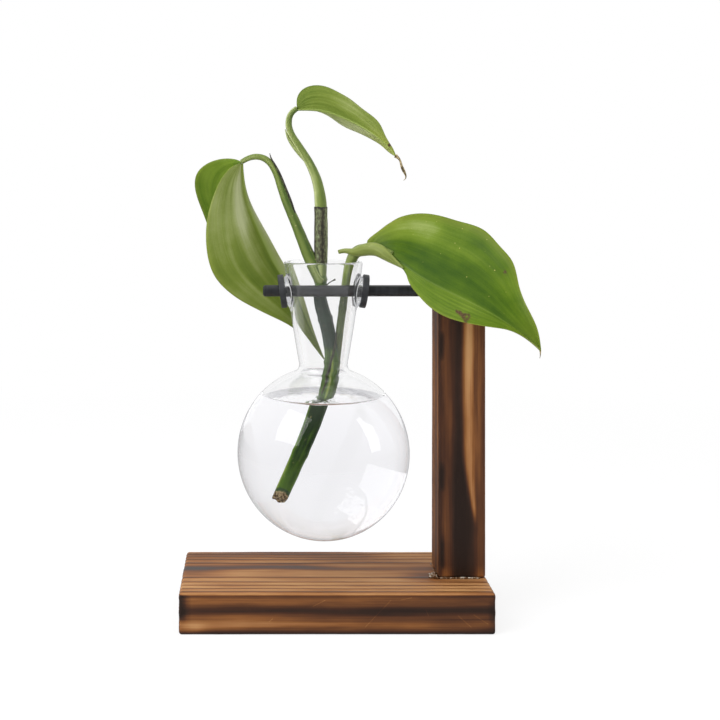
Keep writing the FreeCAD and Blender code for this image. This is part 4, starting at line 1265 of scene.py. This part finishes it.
RIGHT_FAR_EDGE = ((15.4, -2, 171.6), (19.6, -1, 175.8), (24.9, 0, 179.9), (36.0, 0, 184.6), (48.2, -3, 184.7),
                  (57.8, -7, 182.0), (68.0, -12, 178.0), (74.6, -18, 170.6), (79.1, -23, 164.5),
                  (81.2, -28, 154.1), (83.7, -33, 144.8), (87.1, -36, 136.4))
RIGHT_NEAR_EDGE = ((24.0, -8, 164.2), (29.8, -10, 162.3), (33.1, -17, 155.3), (36.3, -26, 149.5),
                   (42.6, -36, 143.8), (52.1, -44, 139.4), (63.9, -48, 137.7), (74.6, -46, 136.2),
                   (81.9, -42, 131.8))


def spots(points, marks):
    """How much each place belongs to any of the round marks, each a place and a radius."""
    total = np.zeros(points.shape[:2])
    for x, z, radius in marks:
        distance = np.hypot(points[:, :, 0] - x, points[:, :, 2] - z)
        total = np.maximum(total, 1 - step_up(distance, 0.7 * radius, 1.3 * radius))
    return total


def left_leaf_tones(points, along, across, upper):
    """What the left leaf's skin carries: pale bands on the near half, which are painted highlights, a dark
    line beside the midrib and olive margins.
    """
    near_half = step_up(-across, -0.02, 0.02)
    # Painted highlights: pale bands along the near half, where its cupped surface catches the light.
    light = -0.01 + 0.30 * near(along - 0.22, 0.3) * near(across + 0.30, 0.13) + 0.14 * near(along - 0.1, 0.2)
    light = light - 0.16 * near(across + 0.06, 0.035) - 0.09 * step_up(along, 0.25, 0.5)
    light = light + 0.14 * near(along - 0.5, 0.3) * near(across + 0.62, 0.06)
    light = light + (0.24 * (1 - upper) - 0.10 * upper) * (1 - near_half)
    light = light - 0.12 * near(along - 0.55, 0.2) * near(across + 0.5, 0.1)
    return {"light": light, "warm": 0.35 * step_up(np.abs(across), 0.93, 1.0), "brown": 0 * across,
            "speck": 0 * across}


def top_leaf_tones(points, along, across, upper):
    """What the top leaf's skin has of its own: a pale lower half, and a yellow tip with a brown end."""
    height = points[:, :, 2]
    yellow = 1 - step_up(height, 218.0, 227.0)
    light = -0.20 + 0.10 * step_up(along, 0.3, 0.6) + 0.16 * yellow
    light = light + 0.20 * near(along - 0.45, 0.2) * step_up(across, 0.1, 0.4)
    light = light + 0.40 * (1 - step_up(across, -0.03, 0.03))
    brown = spots(points, ((26.2, 217.0, 0.8),)) + 1 - step_up(height, 211.4, 212.2)
    return {"light": light, "warm": 0.75 * yellow, "brown": brown.clip(0, 1), "speck": 0 * across}


def right_leaf_tones(points, along, across, upper):
    """What the right leaf's skin carries: a painted sheen of light on its upper face, olive margins, brown
    blemishes and specks.
    """
    near_half = step_up(-across, -0.02, 0.02)
    # Painted highlight: a pale patch on the far half's upper face, where the overhead light gleams.
    sheen = near(along - 0.27, 0.15) * near(across - 0.78, 0.2)
    light = -0.13 + 0.16 * near_half + 0.42 * sheen * upper
    light = light + 0.12 * near(along - 0.72, 0.2) * step_up(across, 0.3, 0.6)
    light = light - 0.10 * near(across - 0.35, 0.25) * near(along - 0.45, 0.3)
    warm = 0.45 * step_up(np.abs(across), 0.86, 1.0) + 0.25 * step_up(along, 0.75, 1.0)
    warm = warm + 0.25 * near(along - 0.12, 0.12) * step_up(across, 0.4, 0.9)
    brown = spots(points, ((52.4, 142.9, 0.7), (53.6, 142.3, 1.0), (54.6, 141.2, 1.1), (55.9, 141.8, 0.6),
                           (57.2, 141.6, 0.6), (57.2, 140.8, 0.5), (56.2, 140.2, 0.6), (54.8, 139.8, 0.8),
                           (54.5, 138.7, 0.6), (75.8, 159.5, 0.7)))
    speck = near(along - 0.60, 0.32) * step_up(across, 0.10, 0.4)
    return {"light": light, "warm": warm.clip(0, 0.8), "brown": brown, "speck": speck * upper}


def make_leaves():
    """The three leaves, each through places read off its two edges and its midrib."""
    skin = leaf_skin()
    left = (LEFT_NEAR_EDGE, LEFT_MIDRIB, LEFT_FAR_EDGE)
    top = (TOP_LOWER_EDGE, TOP_MIDRIB, TOP_UPPER_EDGE)
    right = (RIGHT_NEAR_EDGE, RIGHT_MIDRIB, RIGHT_FAR_EDGE)
    make_leaf("left_leaf_blade", "leaf_left", skin, left, 0.05, 0.5, (6.5, 4.0, 0.0), left_leaf_tones)
    make_leaf("top_leaf_blade", "leaf_top", skin, top, 0.08, 0.35, (0, 0, 0), top_leaf_tones)
    make_leaf("right_leaf_blade", "leaf_right", skin, right, 0.06, 0.5, (0, 0, 0), right_leaf_tones)


# The stage: camera, lights, backdrop and floor

CAMERA_PLACE = (-35.05, -606.0, 199.5)
LIGHT_DISTANCE = 1.2
FLOOR_RADIUS = 3000
FLOOR_SIDES = 96


def make_camera():
    """A level view from 0.6 m in front of the object, with the frame shifted down and to the right."""
    lens = bpy.data.cameras.new("front_camera")
    lens.sensor_width = 36.0
    lens.lens = 65.0
    lens.shift_x = 0.142
    lens.shift_y = -0.246
    lens.clip_end = 20.0
    camera = bpy.data.objects.new("front_camera", lens)
    camera.location = np.array(CAMERA_PLACE) * MM
    camera.rotation_euler = (math.radians(90), 0, 0)
    bpy.context.scene.collection.objects.link(camera)
    bpy.context.scene.camera = camera


def softbox(name, azimuth, elevation, width, height, radiance, mirrored=True):
    """Soft light facing the glass from an azimuth, in degrees to the front's right, and an elevation."""
    turn, rise = math.radians(azimuth), math.radians(elevation)
    way = Vector((math.sin(turn) * math.cos(rise), -math.cos(turn) * math.cos(rise), math.sin(rise)))
    light = bpy.data.lights.new(name, "AREA")
    light.shape = "RECTANGLE"
    light.size = width
    light.size_y = height
    light.energy = radiance * math.pi * width * height
    made = bpy.data.objects.new(name, light)
    made.location = Vector((0, 0, 0.1)) + way * LIGHT_DISTANCE
    made.rotation_euler = way.to_track_quat("Z", "Y").to_euler()
    made.visible_camera = False
    made.visible_glossy = mirrored
    made.visible_transmission = mirrored
    bpy.context.scene.collection.objects.link(made)


def make_world():
    """White studio: white behind the object, a dimmer room before it that glass shows, and a soft fill."""
    world = bpy.data.worlds.new("white_studio")
    world.use_nodes = True
    tree = world.node_tree
    tree.nodes.clear()
    path = add(tree, "LightPath")
    way = add(tree, "SeparateXYZ", {0: add(tree, "TexCoord").outputs["Generated"]})
    up = way.outputs["Z"]
    behind = add(tree, "MapRange", {"Value": way.outputs["Y"], "From Min": -0.45, "From Max": 0.15})
    horizon = add(tree, "MapRange", {"Value": up, "From Max": 0.35, "To Min": 1.0, "To Max": 0.0})
    behind = add(tree, "Math", {0: behind, 1: horizon}, operation="MAXIMUM")
    room = add(tree, "ValToRGB", {"Fac": behind}, stops=((0.0, "b0adab"), (0.5, "dcdad9"), (1.0, "ffffff")))
    height = add(tree, "Math", {0: way.outputs["Y"], 1: up}, operation="ADD")
    height = add(tree, "MapRange", {"Value": height, "From Min": -0.3, "From Max": 0.9})
    shade = add(tree, "ValToRGB", {"Fac": height}, stops=((0.0, "8f8d94"), (0.35, "b5b3ba"), (1.0, "ffffff")))
    straight = add(tree, "Math", {0: path.outputs["Is Camera Ray"], 1: path.outputs["Is Transmission Ray"]},
                   operation="MAXIMUM")
    seen = add(tree, "Background", {"Color": room})
    mirrored = add(tree, "Background", {"Color": shade})
    fill = add(tree, "Background", {"Color": WHITE, "Strength": 0.42})
    soft = add(tree, "MixShader", {0: path.outputs["Is Glossy Ray"], 1: fill, 2: mirrored})
    light = add(tree, "MixShader", {0: straight, 1: soft, 2: seen})
    add(tree, "OutputWorld", {"Surface": light})
    bpy.context.scene.world = world


def make_floor():
    """White table that fades into the white backdrop and keeps the object's soft shadow."""
    rim = [(FLOOR_RADIUS * math.cos(angle), FLOOR_RADIUS * math.sin(angle), -0.05)
           for angle in turns(FLOOR_SIDES)]
    made, tree = material("white_table")
    path = add(tree, "LightPath")
    seen = add(tree, "Math", {0: path.outputs["Is Camera Ray"], 1: path.outputs["Is Glossy Ray"]},
               operation="MAXIMUM")
    seen = add(tree, "Math", {0: seen, 1: path.outputs["Is Transmission Ray"]}, operation="MAXIMUM")
    place = add(tree, "TexCoord").outputs["Object"]
    distance = add(tree, "VectorMath", {0: place}, operation="LENGTH").outputs["Value"]
    far = add(tree, "MapRange", {"Value": distance, "From Min": 0.12, "From Max": 0.7})
    strength = add(tree, "MapRange", {"Value": far, "To Min": 0.81, "To Max": 1.0})
    mirrored = add(tree, "Math", {0: path.outputs["Is Glossy Ray"], 1: path.outputs["Is Transmission Ray"]},
                   operation="GREATER_THAN")
    dull = add(tree, "MapRange", {"Value": mirrored, "To Min": 1.0, "To Max": 0.25})
    strength = add(tree, "Math", {0: strength, 1: dull}, operation="MULTIPLY")
    tint = add(tree, "ValToRGB", {"Fac": far}, stops=((0.0, 0.21), (1.0, 0.0)))
    glow = add(tree, "Emission", {"Color": WHITE, "Strength": strength})
    lit = add(tree, "BsdfDiffuse", {"Color": tint})
    table = add(tree, "AddShader", {0: glow, 1: lit})
    plain = add(tree, "BsdfDiffuse", {"Color": (0.85, 0.85, 0.85, 1)})
    add(tree, "OutputMaterial", {"Surface": add(tree, "MixShader", {0: seen, 1: plain, 2: table})})
    mesh = make_mesh("white_table", rim, [list(range(FLOOR_SIDES))])
    mesh.materials.append(made)
    floor = bpy.data.objects.new("white_table", mesh)
    bpy.context.scene.collection.objects.link(floor)


def paint(node, made):
    """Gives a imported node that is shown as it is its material."""
    for shown in bpy.data.objects:
        if shown.type == "MESH" and shown.name.split(".")[0] == node:
            shown.data.materials.clear()
            shown.data.materials.append(made)


make_base()
make_post()
make_glue()
make_glass()
make_water()
make_stem()
stalk_skin = green_bark("stalk_skin", "455c24", "74843f", "b9c286", 0.40)
make_left_stalk(stalk_skin)
make_top_stalk(stalk_skin)
make_right_stalk(stalk_skin)
make_sheaths()
make_small_parts()
make_leaves()
paint("rod", black_rod_paint())
rubber = black_rubber()
paint("washer_left", rubber)
paint("washer_right", rubber)
paint("post_screw", zinc_plate())
make_camera()
softbox("left_window", -55, 36, 0.80, 0.84, 2.7)
softbox("left_fill", -53, 34, 1.05, 1.05, 1.7, mirrored=False)
softbox("right_strip", 70, 24, 0.36, 0.88, 3.0)
softbox("overhead", 10, 78, 1.0, 1.0, 1.6, mirrored=False)
make_world()
make_floor()
